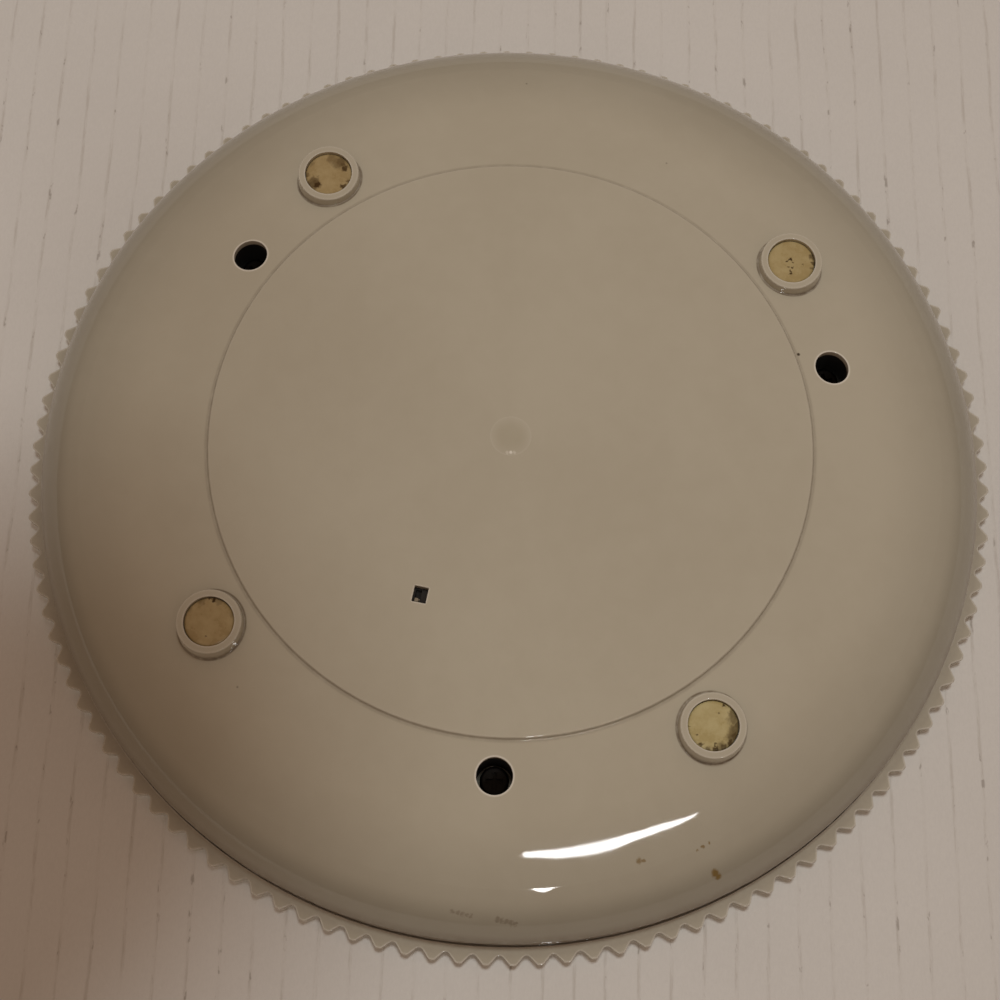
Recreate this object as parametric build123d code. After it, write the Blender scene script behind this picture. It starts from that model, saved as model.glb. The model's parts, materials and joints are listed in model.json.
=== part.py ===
from build123d import *
import math
import os

# A round digital bathroom scale, resting on its four feet on the plane z = 0, platform up.
# Millimetres. The Z axis is the axis of the round housing. The display lies toward +Y.

# ---------------------------------------------------------------- driving dimensions
TOOTH_COUNT = 120           # flutes round the rim of the platform
TIP_RADIUS = 152.5          # crest of the rounded flutes
VALLEY_RADIUS = 149.6
FLUTE_SLOPE = 48            # degrees between a flute flank and the rim circle
FLUTE_ROUNDING = 1.5        # radius of crests and valleys
RIM_INNER_RADIUS = 147.1
RIM_FACE_Z = 32.0           # underside of the fluted rim
PLATE_UNDERSIDE_Z = 33.4
RECESS_Z = 35.2             # floor of the recess that holds the tread mat
BORDER_Z = 36.6
BORDER_INNER_RADIUS = 139.0
MAT_TOP_Z = 37.0            # highest point of the scale

SHELL = 2.4                 # wall of the base shell
PLATEAU_Z = 1.4
PLATEAU_RADIUS = 90.8       # raised round middle of the underside
DOME_START = (91.2, 2.45)   # (radius, z) foot of the step round the plateau
DOME_MIDDLE = (116.0, 6.96)
SHOULDER = (132.0, 11.46)   # where the shallow dome turns into the rounded shoulder
SHOULDER_MIDDLE = (140.0, 15.86)
LIP_LOWER = (146.4, 24.2)   # the shoulder ends here, at the upright lip
LIP_TOP_Z = 32.2
FLOOR_Z = PLATEAU_Z + SHELL
DOME_LIFT = 2.304           # upright distance between the outer and inner skin of the dome
INNER_SHOULDER = (131.26, 13.74)
INNER_LIP = (144.0, 24.7)
STEP_ROUNDING = 0.45
LIP_ROUNDING = 1.0
ENVELOPE_INSET = 0.7        # inner ribs and posts start this far above the outer skin
RIB_ANGLES = (0, 15, 30, 60, 120, 150, 165, 180, 195, 240, 255, 270, 285, 300, 345)
RIB_RADIUS = 116.5          # middle of a stiffening rib
RIB_LENGTH = 47.0
RIB_THICKNESS = 1.6
RIB_TOP_Z = 15.0

STATION_RADIUS = 104.5      # feet, with a load cell above each of them
STATIONS = {"front_left": 225, "front_right": 315, "rear_right": 45, "rear_left": 135}
FOOT_RING_RADIUS = 9.5
FOOT_ROOT_RADIUS = 10.1
FOOT_ROOT_Z = 4.9
PAD_RADIUS = 7.3
PAD_THICKNESS = 1.6
PAD_SET_BACK = 0.8
FOOT_RECESS_DEPTH = PAD_SET_BACK + PAD_THICKNESS
FOOT_EDGE = 0.3             # rounding of the rim of a foot
FOOT_SINK = 1.5             # the root of a foot reaches this far into the dome
FOOT_HOLLOW_Z = (4.4, 12.0)     # material above a pad that is left out to keep the wall even

ACCESS_HOLE_RADIUS = 5.25   # openings in the base below the hold-down screws
ACCESS_RADIUS = 101.3
ACCESS_ANGLES = (205, 335, 81)
SELECTOR_SLOT = (4.2, 4.8)  # opening for the unit selector
SELECTOR_XY = (-16.0, 53.35)
SELECTOR_STROKE = 2.2
SELECTOR_BUTTON = (1.1, 1.1)
SELECTOR_BUTTON_REST = (-0.8, 1.65)     # from the middle of the slot, at the end toward the display

TRAVEL = 0.5                # the platform sinks this far under full load
SCREW_FIT = 0.02            # radial clearance that stands for engaged threads
FIT = 0.1                   # clearance of pieces dropped into a seat

SEAT_Z = 13.0               # top of the pedestals below the load cells
PEDESTAL_SIDE = 38.0
PEDESTAL_WALL = 3.0
CRADLE_SIDE = 40.0
CRADLE_PLATE = 1.2
CRADLE_RIM_Z = 16.4
EAR_OFFSET = 21.6
EAR_RADIUS = 3.6
CELL_SIDE = 34.0
CELL_THICKNESS = 1.4
CELL_FRAME = 5.0            # width of the outer frame of a load cell
TONGUE_WIDTH = 12.0
CELL_Z = SEAT_Z + CRADLE_PLATE
CELL_TOP_Z = CELL_Z + CELL_THICKNESS
STUD_TIP_Z = CELL_TOP_Z + TRAVEL + 0.4
STUD_RADIUS = 3.0
POST_RADIUS = 5.0
POST_END_Z = 20.0
STUD_TOP_Z = 24.0

BRIDGE_Z = 22.5             # underside of the bridge that a hold-down screw passes
BRIDGE_THICKNESS = 2.5
BRIDGE_LENGTH = 16.0
BRIDGE_WIDTH = 17.0
BRIDGE_LEG = 2.0
SCREW_HEAD_Z = 15.5
SCREW_HEAD_RADIUS = 4.3
SCREW_HEAD_HEIGHT = 2.6
SHOULDER_RADIUS = 2.3
THREAD_RADIUS = 2.0
HOLD_POST_Z = BRIDGE_Z + BRIDGE_THICKNESS + TRAVEL + 0.5
THREAD_LENGTH = 6.0
SLEEVE_RADIUS = 6.2         # dark sleeve round a screw head and its spring
SLEEVE_WALL = 0.8
SLEEVE_GAP = 0.05
SPRING_WIRE = 0.4
SPRING_RADIUS = 3.4
SPRING_TURNS = 5

BOARD_THICKNESS = 1.6
BOARD_Z = 8.0
BOARD_X = (-38.0, 34.0)
BOARD_Y = (19.0, 69.0)
BOARD_SCREW_INSET = 4.0
BOARD_TOP_Z = BOARD_Z + BOARD_THICKNESS
CONNECTOR_Y = (54.0, 34.0)
CONNECTOR_SIZE = (7.0, 8.0, 4.6)
LEAD_RADIUS = 0.9
LEAD_Z = FLOOR_Z + LEAD_RADIUS + 0.1
CONNECTOR_LEAD_Z = BOARD_TOP_Z + 2.2
RIBBON_WIDTH = 14.0
RIBBON_THICKNESS = 0.5
RIBBON_X = -14.0

DISPLAY_Y = 120.0
DISPLAY_BOARD_SIZE = (66.0, 25.0)
DISPLAY_BOARD_Z = 25.0
DISPLAY_TOP_Z = DISPLAY_BOARD_Z + BOARD_THICKNESS
DISPLAY_SCREW_OFFSET = (30.0, 9.5)
LCD_SIZE = (50.0, 19.0, 2.2)
LCD_FRAME_SIZE = (54.0, 23.0)
LCD_FRAME_TOP_Z = 32.0
LCD_FRAME_LIP = 0.8
WINDOW_SIZE = (52.0, 20.0)
LENS_SIZE = (56.0, 22.0, 1.2)
BEZEL_SIZE = (64.0, 28.0)
BEZEL_OPENING = (53.0, 20.5)

CELL_BATTERY_RADIUS = 8.5
CELL_BATTERY_LENGTH = 34.5
BATTERY_XY = (0.0, -28.0)
BATTERY_TRAY = (46.0, 22.0)
BATTERY_TRAY_WALL = 1.5
BATTERY_AXIS_Z = FLOOR_Z + BATTERY_TRAY_WALL + CELL_BATTERY_RADIUS + FIT

PILOT_RADIUS = 1.25         # small thread-forming screws
SMALL_HEAD_RADIUS = 2.6
SMALL_HEAD_HEIGHT = 1.8
SMALL_SCREW_LENGTH = 5.0
SMALL_SCREW_HOLE = 1.5      # radius of the clearance hole in a board
PILOT_DEPTH = 6.0
BOARD_POST_RADIUS = 3.0
DISPLAY_POST_RADIUS = 3.2

LOW = (Align.CENTER, Align.CENTER, Align.MIN)
HIGH = (Align.CENTER, Align.CENTER, Align.MAX)


# ---------------------------------------------------------------- shared helpers
def at(x, y, z=0.0):
    """A position given by Cartesian coordinates."""
    return Pos(x, y, z)


def around(radius, angle, z=0.0):
    """A position on a circle about Z whose local +X points away from the axis."""
    return Rot(0, 0, angle) * Pos(radius, 0, z)


def post(radius, z_from, z_to):
    """An upright cylinder between two heights."""
    return Pos(0, 0, z_from) * Cylinder(radius, z_to - z_from, align=LOW)


def block(size_x, size_y, z_from, z_to):
    """A box centred on Z between two heights."""
    return Pos(0, 0, z_from) * Box(size_x, size_y, z_to - z_from, align=LOW)


def rounded_block(size_x, size_y, radius, z_from, z_to):
    """A box with rounded upright corners between two heights."""
    return Pos(0, 0, z_from) * extrude(RectangleRounded(size_x, size_y, radius), z_to - z_from)


def near_vertices(face, points):
    """The corners of a half-plane outline that lie at the given (radius, z) points."""
    picked = []
    for radius, height in points:
        picked.append(face.vertices().sort_by_distance((radius, 0, height))[0])
    return picked


def pan_screw(head_radius, head_height, shank_radius, length):
    """A cross-recess screw pointing down, underside of the head at z = 0."""
    head = Cylinder(head_radius, head_height, align=LOW)
    head = fillet(head.edges().sort_by(Axis.Z)[-1], head_height * 0.45)
    slot = Pos(0, 0, head_height) * Box(head_radius * 1.1, head_radius * 0.28, head_height)
    shank = Cylinder(shank_radius, length, align=HIGH)
    tip = shank.edges().sort_by(Axis.Z)[0]
    shank = chamfer(tip, shank_radius * 0.4)
    return head + shank - slot - Rot(0, 0, 90) * slot


def wire(points, wire_radius, bend_radii):
    """A round wire along straight runs that are joined by tangent bends."""
    path = FilletPolyline(*points, radius=bend_radii)
    section = Plane(origin=path @ 0, z_dir=path % 0) * Circle(wire_radius)
    return sweep(section, path=path)


def save(node, shape):
    """Write one named piece."""
    export_step(shape, os.path.join("parts", node + ".step"))


def save_group(node, shapes):
    """Write several separate solids that share one name."""
    solids = [solid for shape in shapes for solid in shape.solids()]
    save(node, Compound(children=solids))


# ---------------------------------------------------------------- base shell
def base_outline():
    """Half section of the shell: step, shallow dome, rounded shoulder and upright lip."""
    inner_start = (DOME_START[0] + 0.4, DOME_START[1] + DOME_LIFT)
    inner_middle = (DOME_MIDDLE[0] - 0.5, DOME_MIDDLE[1] + DOME_LIFT)
    inner_dome = ThreePointArc(inner_start, inner_middle, INNER_SHOULDER)
    outer_dome = ThreePointArc(DOME_START, DOME_MIDDLE, SHOULDER)
    lines = Polyline((DOME_START[0], DOME_START[1]), (PLATEAU_RADIUS, PLATEAU_Z), (0, PLATEAU_Z),
                     (0, FLOOR_Z), (PLATEAU_RADIUS - 0.4, FLOOR_Z), inner_start)
    lines += inner_dome
    lines += TangentArc(INNER_SHOULDER, INNER_LIP, tangent=inner_dome % 1)
    lines += Polyline(INNER_LIP, (INNER_LIP[0], LIP_TOP_Z), (LIP_LOWER[0], LIP_TOP_Z), LIP_LOWER)
    lines += TangentArc(SHOULDER, LIP_LOWER, tangent=outer_dome % 1)
    lines += outer_dome
    face = Plane.XZ * make_face(lines)
    face = fillet(near_vertices(face, [(PLATEAU_RADIUS, PLATEAU_Z), DOME_START]), STEP_ROUNDING)
    return fillet(near_vertices(face, [LIP_LOWER]), LIP_ROUNDING)


def base_envelope():
    """Everything above the outer skin of the base, used to trim what stands inside it."""
    side = LIP_LOWER[0] - 1.0
    bottom = PLATEAU_Z + ENVELOPE_INSET
    bend = (SHOULDER_MIDDLE[0] - 0.4, SHOULDER_MIDDLE[1] + ENVELOPE_INSET)
    foot = (SHOULDER[0] - 0.2, SHOULDER[1] + ENVELOPE_INSET)
    lines = Polyline(DOME_START, (PLATEAU_RADIUS, bottom), (0, bottom), (0, LIP_TOP_Z),
                     (side, LIP_TOP_Z), (side, LIP_LOWER[1]), bend, foot)
    lines += ThreePointArc(foot, (DOME_MIDDLE[0], DOME_MIDDLE[1] + ENVELOPE_INSET), DOME_START)
    return revolve(Plane.XZ * make_face(lines), axis=Axis.Z)


def pedestal():
    """Square wall and two screw bosses that carry the cradle of a load cell."""
    inner = PEDESTAL_SIDE - 2 * PEDESTAL_WALL
    frame = block(PEDESTAL_SIDE, PEDESTAL_SIDE, 0, SEAT_Z) - block(inner, inner, 0, SEAT_Z)
    for side in (-1, 1):
        frame += Pos(0, side * EAR_OFFSET, 0) * post(EAR_RADIUS, 0, SEAT_Z)
    return frame


def screw_bridge():
    """Two legs and a bridge over an access hole."""
    leg = block(BRIDGE_LENGTH, BRIDGE_LEG, 0, BRIDGE_Z)
    offset = BRIDGE_WIDTH / 2 - BRIDGE_LEG / 2
    bridge = block(BRIDGE_LENGTH, BRIDGE_WIDTH, BRIDGE_Z, BRIDGE_Z + BRIDGE_THICKNESS)
    return bridge + Pos(0, offset, 0) * leg + Pos(0, -offset, 0) * leg


def board_screw_points():
    """Corner screws of the main board."""
    xs = (BOARD_X[0] + BOARD_SCREW_INSET, BOARD_X[1] - BOARD_SCREW_INSET)
    ys = (BOARD_Y[0] + BOARD_SCREW_INSET, BOARD_Y[1] - BOARD_SCREW_INSET)
    return [(x, y) for x in xs for y in ys]


def display_screw_points():
    """Corner screws of the display board."""
    dx, dy = DISPLAY_SCREW_OFFSET
    return [(x, DISPLAY_Y + y) for x in (-dx, dx) for y in (-dy, dy)]


def stiffening_ribs():
    """Radial ribs inside the dome, left out where pedestals, bridges and the display stand."""
    ribs = Part()
    for angle in RIB_ANGLES:
        ribs += around(RIB_RADIUS, angle) * block(RIB_LENGTH, RIB_THICKNESS, 0, RIB_TOP_Z)
    return ribs


def base_shell():
    """Dish-shaped base with moulded feet, access holes, selector slot and inner posts."""
    inside = stiffening_ribs()
    for angle in STATIONS.values():
        inside += around(STATION_RADIUS, angle) * pedestal()
    for angle in ACCESS_ANGLES:
        inside += around(ACCESS_RADIUS, angle) * screw_bridge()
    for x, y in board_screw_points():
        inside += at(x, y) * post(BOARD_POST_RADIUS, 0, BOARD_Z)
    for x, y in display_screw_points():
        inside += at(x, y) * post(DISPLAY_POST_RADIUS, 0, DISPLAY_BOARD_Z)
    shell = revolve(base_outline(), axis=Axis.Z)
    shell += inside & base_envelope()
    for angle in STATIONS.values():
        boss = Cone(FOOT_RING_RADIUS, FOOT_ROOT_RADIUS, FOOT_ROOT_Z, align=LOW)
        boss += post(FOOT_ROOT_RADIUS, FOOT_ROOT_Z, FOOT_ROOT_Z + FOOT_SINK)
        boss = fillet(boss.edges().sort_by(Axis.Z)[0], FOOT_EDGE)
        shell += around(STATION_RADIUS, angle) * boss
        shell -= around(STATION_RADIUS, angle) * post(PAD_RADIUS + FIT, 0, FOOT_RECESS_DEPTH)
        shell -= around(STATION_RADIUS, angle) * post(PAD_RADIUS, *FOOT_HOLLOW_Z)
        for side in (-1, 1):
            pilot = post(PILOT_RADIUS + SCREW_FIT, SEAT_Z - PILOT_DEPTH, SEAT_Z)
            shell -= around(STATION_RADIUS, angle) * Pos(0, side * EAR_OFFSET, 0) * pilot
    for angle in ACCESS_ANGLES:
        shell -= around(ACCESS_RADIUS, angle) * post(ACCESS_HOLE_RADIUS, 0, SCREW_HEAD_Z)
        shell -= around(ACCESS_RADIUS, angle) * post(SHOULDER_RADIUS + 0.5, SCREW_HEAD_Z, HOLD_POST_Z)
    for x, y in board_screw_points():
        shell -= at(x, y) * post(PILOT_RADIUS + SCREW_FIT, FLOOR_Z + 0.3, BOARD_Z)
    for x, y in display_screw_points():
        pilot = post(PILOT_RADIUS + SCREW_FIT, DISPLAY_BOARD_Z - PILOT_DEPTH, DISPLAY_BOARD_Z)
        shell -= at(x, y) * pilot
    shell -= at(*SELECTOR_XY) * block(*SELECTOR_SLOT, 0, FLOOR_Z + 1)
    return shell


def screw_sleeves():
    """Sleeves between the floor of the dome and the bridges; they guide the screws and keep dust out."""
    floor = Pos(0, 0, SLEEVE_GAP) * revolve(base_outline(), axis=Axis.Z)
    room = base_envelope()
    top = BRIDGE_Z - SLEEVE_GAP
    tube = post(SLEEVE_RADIUS, FLOOR_Z, top) - post(SLEEVE_RADIUS - SLEEVE_WALL, FLOOR_Z, top)
    return [(around(ACCESS_RADIUS, angle) * tube & room) - floor for angle in ACCESS_ANGLES]


def foot_pad():
    """Round pad that lies in the recess of a foot."""
    pad = post(PAD_RADIUS, PAD_SET_BACK, PAD_SET_BACK + PAD_THICKNESS)
    return fillet(pad.edges().sort_by(Axis.Z)[0], 0.35)


# ---------------------------------------------------------------- weighing parts
def load_cell():
    """Steel plate whose middle tongue bends under load; the tongue starts at the inner side."""
    opening = CELL_SIDE - 2 * CELL_FRAME
    plate = rounded_block(CELL_SIDE, CELL_SIDE, 1.5, CELL_Z, CELL_TOP_Z)
    plate -= rounded_block(opening, opening, 1.0, CELL_Z, CELL_TOP_Z)
    tongue_length = opening / 2 + 6.5
    tongue = rounded_block(tongue_length, TONGUE_WIDTH, 2.0, CELL_Z, CELL_TOP_Z)
    tongue += Pos(-tongue_length / 4, 0, 0) * block(tongue_length / 2 + 1, TONGUE_WIDTH, CELL_Z, CELL_TOP_Z)
    return plate + Pos(6.0 - tongue_length / 2, 0, 0) * tongue


def load_cell_cradle():
    """Plastic tray that holds one load cell on its pedestal."""
    tray = rounded_block(CRADLE_SIDE, CRADLE_SIDE, 2.0, SEAT_Z, CELL_Z)
    for side in (-1, 1):
        tray += Pos(0, side * EAR_OFFSET, 0) * post(EAR_RADIUS, SEAT_Z, CELL_Z)
    rim = rounded_block(CELL_SIDE + 2.4, CELL_SIDE + 2.4, 2.0, CELL_Z, CRADLE_RIM_Z)
    rim -= block(CELL_SIDE + 2 * FIT, CELL_SIDE + 2 * FIT, CELL_Z, CRADLE_RIM_Z)
    tray += rim
    opening = CELL_SIDE - 2 * CELL_FRAME + 2
    tray -= rounded_block(opening, opening, 2.0, SEAT_Z, CELL_Z)
    tray -= Pos(-CELL_SIDE / 2, 0, 0) * block(8.0, 4.0, CELL_TOP_Z, CRADLE_RIM_Z)
    for side in (-1, 1):
        tray -= Pos(0, side * EAR_OFFSET, 0) * post(1.6, SEAT_Z, CELL_Z)
    return tray


def strain_gauge():
    """Sealed strain gauge on the root of a tongue."""
    seal = Pos(-10.0, 0, 0) * rounded_block(7.0, 7.0, 2.0, CELL_TOP_Z, CELL_TOP_Z + 0.8)
    return fillet(seal.edges().group_by(Axis.Z)[-1], 0.4)


def cradle_screws():
    """Two small screws through the ears of every cradle."""
    screw = pan_screw(SMALL_HEAD_RADIUS, SMALL_HEAD_HEIGHT, PILOT_RADIUS, SMALL_SCREW_LENGTH + 0.8)
    return [around(STATION_RADIUS, angle) * Pos(0, side * EAR_OFFSET, CELL_Z) * screw
            for angle in STATIONS.values() for side in (-1, 1)]


def load_cell_lead(angle):
    """Lead from a strain gauge over the floor of the base to its connector on the main board."""
    direction = (math.cos(math.radians(angle)), math.sin(math.radians(angle)))
    gauge_z = CELL_TOP_Z + 1.1
    start = STATION_RADIUS - 14.0
    drop = STATION_RADIUS - 25.5
    right = direction[0] > 0
    row = CONNECTOR_Y[0] if direction[1] > 0 else CONNECTOR_Y[1]
    edge = BOARD_X[1] if right else BOARD_X[0]
    away = 8.0 if right else -8.0
    points = [
        (direction[0] * start, direction[1] * start, gauge_z),
        (direction[0] * drop, direction[1] * drop, gauge_z),
        (direction[0] * drop, direction[1] * drop, LEAD_Z),
        (edge + away, row, LEAD_Z),
        (edge + away, row, CONNECTOR_LEAD_Z),
        (edge, row, CONNECTOR_LEAD_Z),
    ]
    return wire(points, LEAD_RADIUS, [3.0, 3.0, 2.2, 2.2])


# ---------------------------------------------------------------- electronics
def board_middle():
    """Centre of the main board."""
    return ((BOARD_X[0] + BOARD_X[1]) / 2, (BOARD_Y[0] + BOARD_Y[1]) / 2)


def circuit_board():
    """Main board with four screw holes."""
    length = BOARD_X[1] - BOARD_X[0]
    width = BOARD_Y[1] - BOARD_Y[0]
    board = at(*board_middle()) * rounded_block(length, width, 2.0, BOARD_Z, BOARD_TOP_Z)
    for x, y in board_screw_points():
        board -= at(x, y) * post(SMALL_SCREW_HOLE, BOARD_Z, BOARD_TOP_Z)
    return board


def board_screws():
    """Screws of the main board and of the display board."""
    screw = pan_screw(SMALL_HEAD_RADIUS, SMALL_HEAD_HEIGHT, PILOT_RADIUS, SMALL_SCREW_LENGTH)
    main = [at(x, y, BOARD_TOP_Z) * screw for x, y in board_screw_points()]
    display = [at(x, y, DISPLAY_TOP_Z) * screw for x, y in display_screw_points()]
    return main + display


def chip(size_x, size_y, height, pins_per_side, pitch):
    """Chip body with gull-wing pins along its two long sides, standing on z = 0."""
    body = rounded_block(size_x, size_y, 0.3, 0.3, height)
    pins = Part()
    for index in range(pins_per_side):
        x = (index - (pins_per_side - 1) / 2) * pitch
        pins += at(x, 0) * block(0.5, size_y + 2.4, 0, 0.5)
    return body + pins


def controller_chip():
    """Microcontroller of the scale."""
    return at(6.0, 46.0, BOARD_TOP_Z) * chip(17.0, 9.0, 2.4, 12, 1.27)


def converter_chip():
    """Weighing amplifier and converter."""
    return at(4.0, 30.0, BOARD_TOP_Z) * chip(10.0, 4.0, 1.7, 8, 1.1)


def clock_crystal():
    """Crystal can lying beside the controller."""
    can = Rot(0, 90, 0) * Cylinder(1.5, 8.0)
    return at(6.0, 57.0, BOARD_TOP_Z + 1.5) * can


def board_capacitors():
    """Electrolytic capacitors of the supply."""
    can = fillet(Cylinder(3.1, 8.0, align=LOW).edges().sort_by(Axis.Z)[-1], 0.5)
    return [at(x, 27.0, BOARD_TOP_Z) * can for x in (-26.0, -18.5)]


def lead_connectors():
    """Four side-entry connectors for the load cell leads."""
    length, width, height = CONNECTOR_SIZE
    housing = block(length, width, 0, height) - Pos(0, 0, height - 0.8) * block(length - 2, width - 2, 0, 0.8)
    left = BOARD_X[0] + length / 2
    right = BOARD_X[1] - length / 2
    return [at(x, y, BOARD_TOP_Z) * housing for x in (left, right) for y in CONNECTOR_Y]


def battery_connector():
    """Two-way connector at the front edge of the main board."""
    return at(-6.0, BOARD_Y[0] + 3.0, BOARD_TOP_Z) * (block(7.0, 6.0, 0, 4.6) - block(5.0, 4.0, 3.8, 4.6))


def selector_body():
    """Slide switch soldered below the main board, over the selector slot."""
    length, width = SELECTOR_BUTTON
    rest_x, rest_y = SELECTOR_BUTTON_REST
    housing = block(7.4, 9.4, FLOOR_Z + 0.5, BOARD_Z)
    way = block(length + 0.6, width + SELECTOR_STROKE + 1.6, FLOOR_Z + 0.5, FLOOR_Z + 2.4)
    return at(*SELECTOR_XY) * (housing - at(rest_x, rest_y - SELECTOR_STROKE / 2) * way)


def selector_slider():
    """Moving button of the slide switch, standing in the slot at the end toward the display."""
    length, width = SELECTOR_BUTTON
    button = rounded_block(length, width, 0.25, PLATEAU_Z + 0.5, FLOOR_Z + 1.2)
    plate = block(length + 0.3, width + 0.8, FLOOR_Z + 0.8, FLOOR_Z + 2.1)
    return at(*SELECTOR_XY) * at(*SELECTOR_BUTTON_REST) * (button + plate)


def display_board():
    """Small board below the liquid crystal panel."""
    board = rounded_block(*DISPLAY_BOARD_SIZE, 1.5, DISPLAY_BOARD_Z, DISPLAY_TOP_Z)
    board = at(0, DISPLAY_Y) * board
    for x, y in display_screw_points():
        board -= at(x, y) * post(SMALL_SCREW_HOLE, DISPLAY_BOARD_Z, DISPLAY_TOP_Z)
    return board


def lcd_frame():
    """Frame that presses the panel and its contact strips onto the display board."""
    lip_z = LCD_FRAME_TOP_Z - LCD_FRAME_LIP
    frame = rounded_block(*LCD_FRAME_SIZE, 1.5, DISPLAY_TOP_Z, LCD_FRAME_TOP_Z)
    frame -= block(LCD_SIZE[0] + 2 * FIT, LCD_SIZE[1] + 2 * FIT, DISPLAY_TOP_Z, lip_z)
    frame -= block(LCD_SIZE[0] - 5, LCD_SIZE[1] - 4, lip_z, LCD_FRAME_TOP_Z)
    return at(0, DISPLAY_Y) * frame


def lcd_panel():
    """Liquid crystal panel just below the lip of its frame."""
    top = LCD_FRAME_TOP_Z - LCD_FRAME_LIP
    return at(0, DISPLAY_Y) * block(LCD_SIZE[0], LCD_SIZE[1], top - LCD_SIZE[2], top)


def contact_strips():
    """Elastomer strips between the board and both long edges of the panel."""
    top = LCD_FRAME_TOP_Z - LCD_FRAME_LIP - LCD_SIZE[2]
    strip = block(LCD_SIZE[0] - 4, 1.8, DISPLAY_TOP_Z, top)
    return [at(0, DISPLAY_Y + side * (LCD_SIZE[1] / 2 - 1.6)) * strip for side in (-1, 1)]


def light_gasket():
    """Foam ring on the frame that closes the view round the panel."""
    ring = block(LCD_FRAME_SIZE[0] - 1, LCD_FRAME_SIZE[1] - 1, LCD_FRAME_TOP_Z, LCD_FRAME_TOP_Z + 0.6)
    ring -= block(LCD_SIZE[0] - 3, LCD_SIZE[1] - 2, LCD_FRAME_TOP_Z, LCD_FRAME_TOP_Z + 0.6)
    return at(0, DISPLAY_Y) * ring


def display_ribbon():
    """Flat cable that rises from the main board to the display board."""
    half = RIBBON_THICKNESS / 2
    low = BOARD_TOP_Z + half
    high = DISPLAY_BOARD_Z - half
    board_edge = BOARD_Y[1]
    runs = [(board_edge - 6.0, low), (board_edge + 15.0, low),
            (DISPLAY_Y - 24.0, high), (DISPLAY_Y - 8.0, high)]
    path = Plane.YZ * FilletPolyline(*runs, radius=4.0)
    start = Plane(origin=path @ 0, x_dir=(1, 0, 0), z_dir=path % 0)
    return Pos(RIBBON_X, 0, 0) * sweep(start * Rectangle(RIBBON_WIDTH, RIBBON_THICKNESS), path=path)


# ---------------------------------------------------------------- battery
def battery_tray():
    """Open tray on the floor of the base."""
    length, width = BATTERY_TRAY
    top = BATTERY_AXIS_Z + 1.0
    tray = rounded_block(length, width, 1.5, FLOOR_Z, top)
    inner_length = length - 2 * BATTERY_TRAY_WALL
    inner_width = width - 2 * BATTERY_TRAY_WALL
    tray -= block(inner_length, inner_width, FLOOR_Z + BATTERY_TRAY_WALL, top)
    for side in (-1, 1):
        tray -= Pos(side * length / 2, 0, 0) * block(5.0, 5.0, BATTERY_AXIS_Z - 2, top)
    return at(*BATTERY_XY) * tray


def battery_cell():
    """Lithium cell with a raised positive pole."""
    body = Rot(0, 90, 0) * Cylinder(CELL_BATTERY_RADIUS, CELL_BATTERY_LENGTH - 1.2)
    body = fillet(body.edges().filter_by(GeomType.CIRCLE), 0.8)
    pole = Pos(CELL_BATTERY_LENGTH / 2 - 0.6, 0, 0) * Rot(0, 90, 0) * Cylinder(2.8, 1.2)
    return at(*BATTERY_XY, BATTERY_AXIS_Z) * (body + pole)


def battery_contacts():
    """Sprung metal contacts at both ends of the cell."""
    inner = BATTERY_TRAY[0] / 2 - BATTERY_TRAY_WALL
    plate = Box(0.4, 12.0, 12.0)
    contacts = []
    for side, pole_gap in ((-1, 0.6), (1, 0.0)):
        reach = inner - CELL_BATTERY_LENGTH / 2 - 0.4 + pole_gap
        strip = Box(reach, 4.0, 0.4)
        contact = Pos(side * (inner - 0.2), 0, 0) * plate
        contact += Pos(side * (inner - 0.4 - reach / 2), 0, 3.0) * strip
        contact += Pos(side * (inner - 0.2 - reach), 0, 0) * Box(0.4, 4.0, 6.4)
        contacts.append(at(*BATTERY_XY, BATTERY_AXIS_Z) * contact)
    return contacts


def battery_leads():
    """Two wires from the contacts to the connector at the front edge of the board."""
    radius = 0.7
    floor = FLOOR_Z + radius + 0.1
    inner = BATTERY_TRAY[0] / 2 - BATTERY_TRAY_WALL
    top = BATTERY_AXIS_Z + 0.5
    leads = []
    for side, target in ((-1, -7.2), (1, -4.8)):
        x = BATTERY_XY[0] + side * inner
        out = BATTERY_XY[0] + side * (inner + 8.0)
        y = BATTERY_XY[1]
        points = [(x, y, top), (out, y, top), (out, y, floor), (out, 0.0, floor), (target, 10.0, floor),
                  (target, 10.0, CONNECTOR_LEAD_Z), (target, BOARD_Y[0], CONNECTOR_LEAD_Z)]
        leads.append(wire(points, radius, [3.0, 3.0, 3.0, 2.4, 2.2]))
    return leads


# ---------------------------------------------------------------- platform
def flute_outline():
    """Closed outline of the fluted rim with rounded crests and valleys."""
    middle = (TIP_RADIUS + VALLEY_RADIUS) / 2
    half_pitch = math.pi * middle / TOOTH_COUNT
    reach = half_pitch * math.tan(math.radians(FLUTE_SLOPE)) / 2
    points = []
    for index in range(2 * TOOTH_COUNT):
        radius = middle + (reach if index % 2 == 0 else -reach)
        angle = math.pi * index / TOOTH_COUNT
        points.append((radius * math.cos(angle), radius * math.sin(angle)))
    return make_face(FilletPolyline(*points, radius=FLUTE_ROUNDING, close=True))


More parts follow.
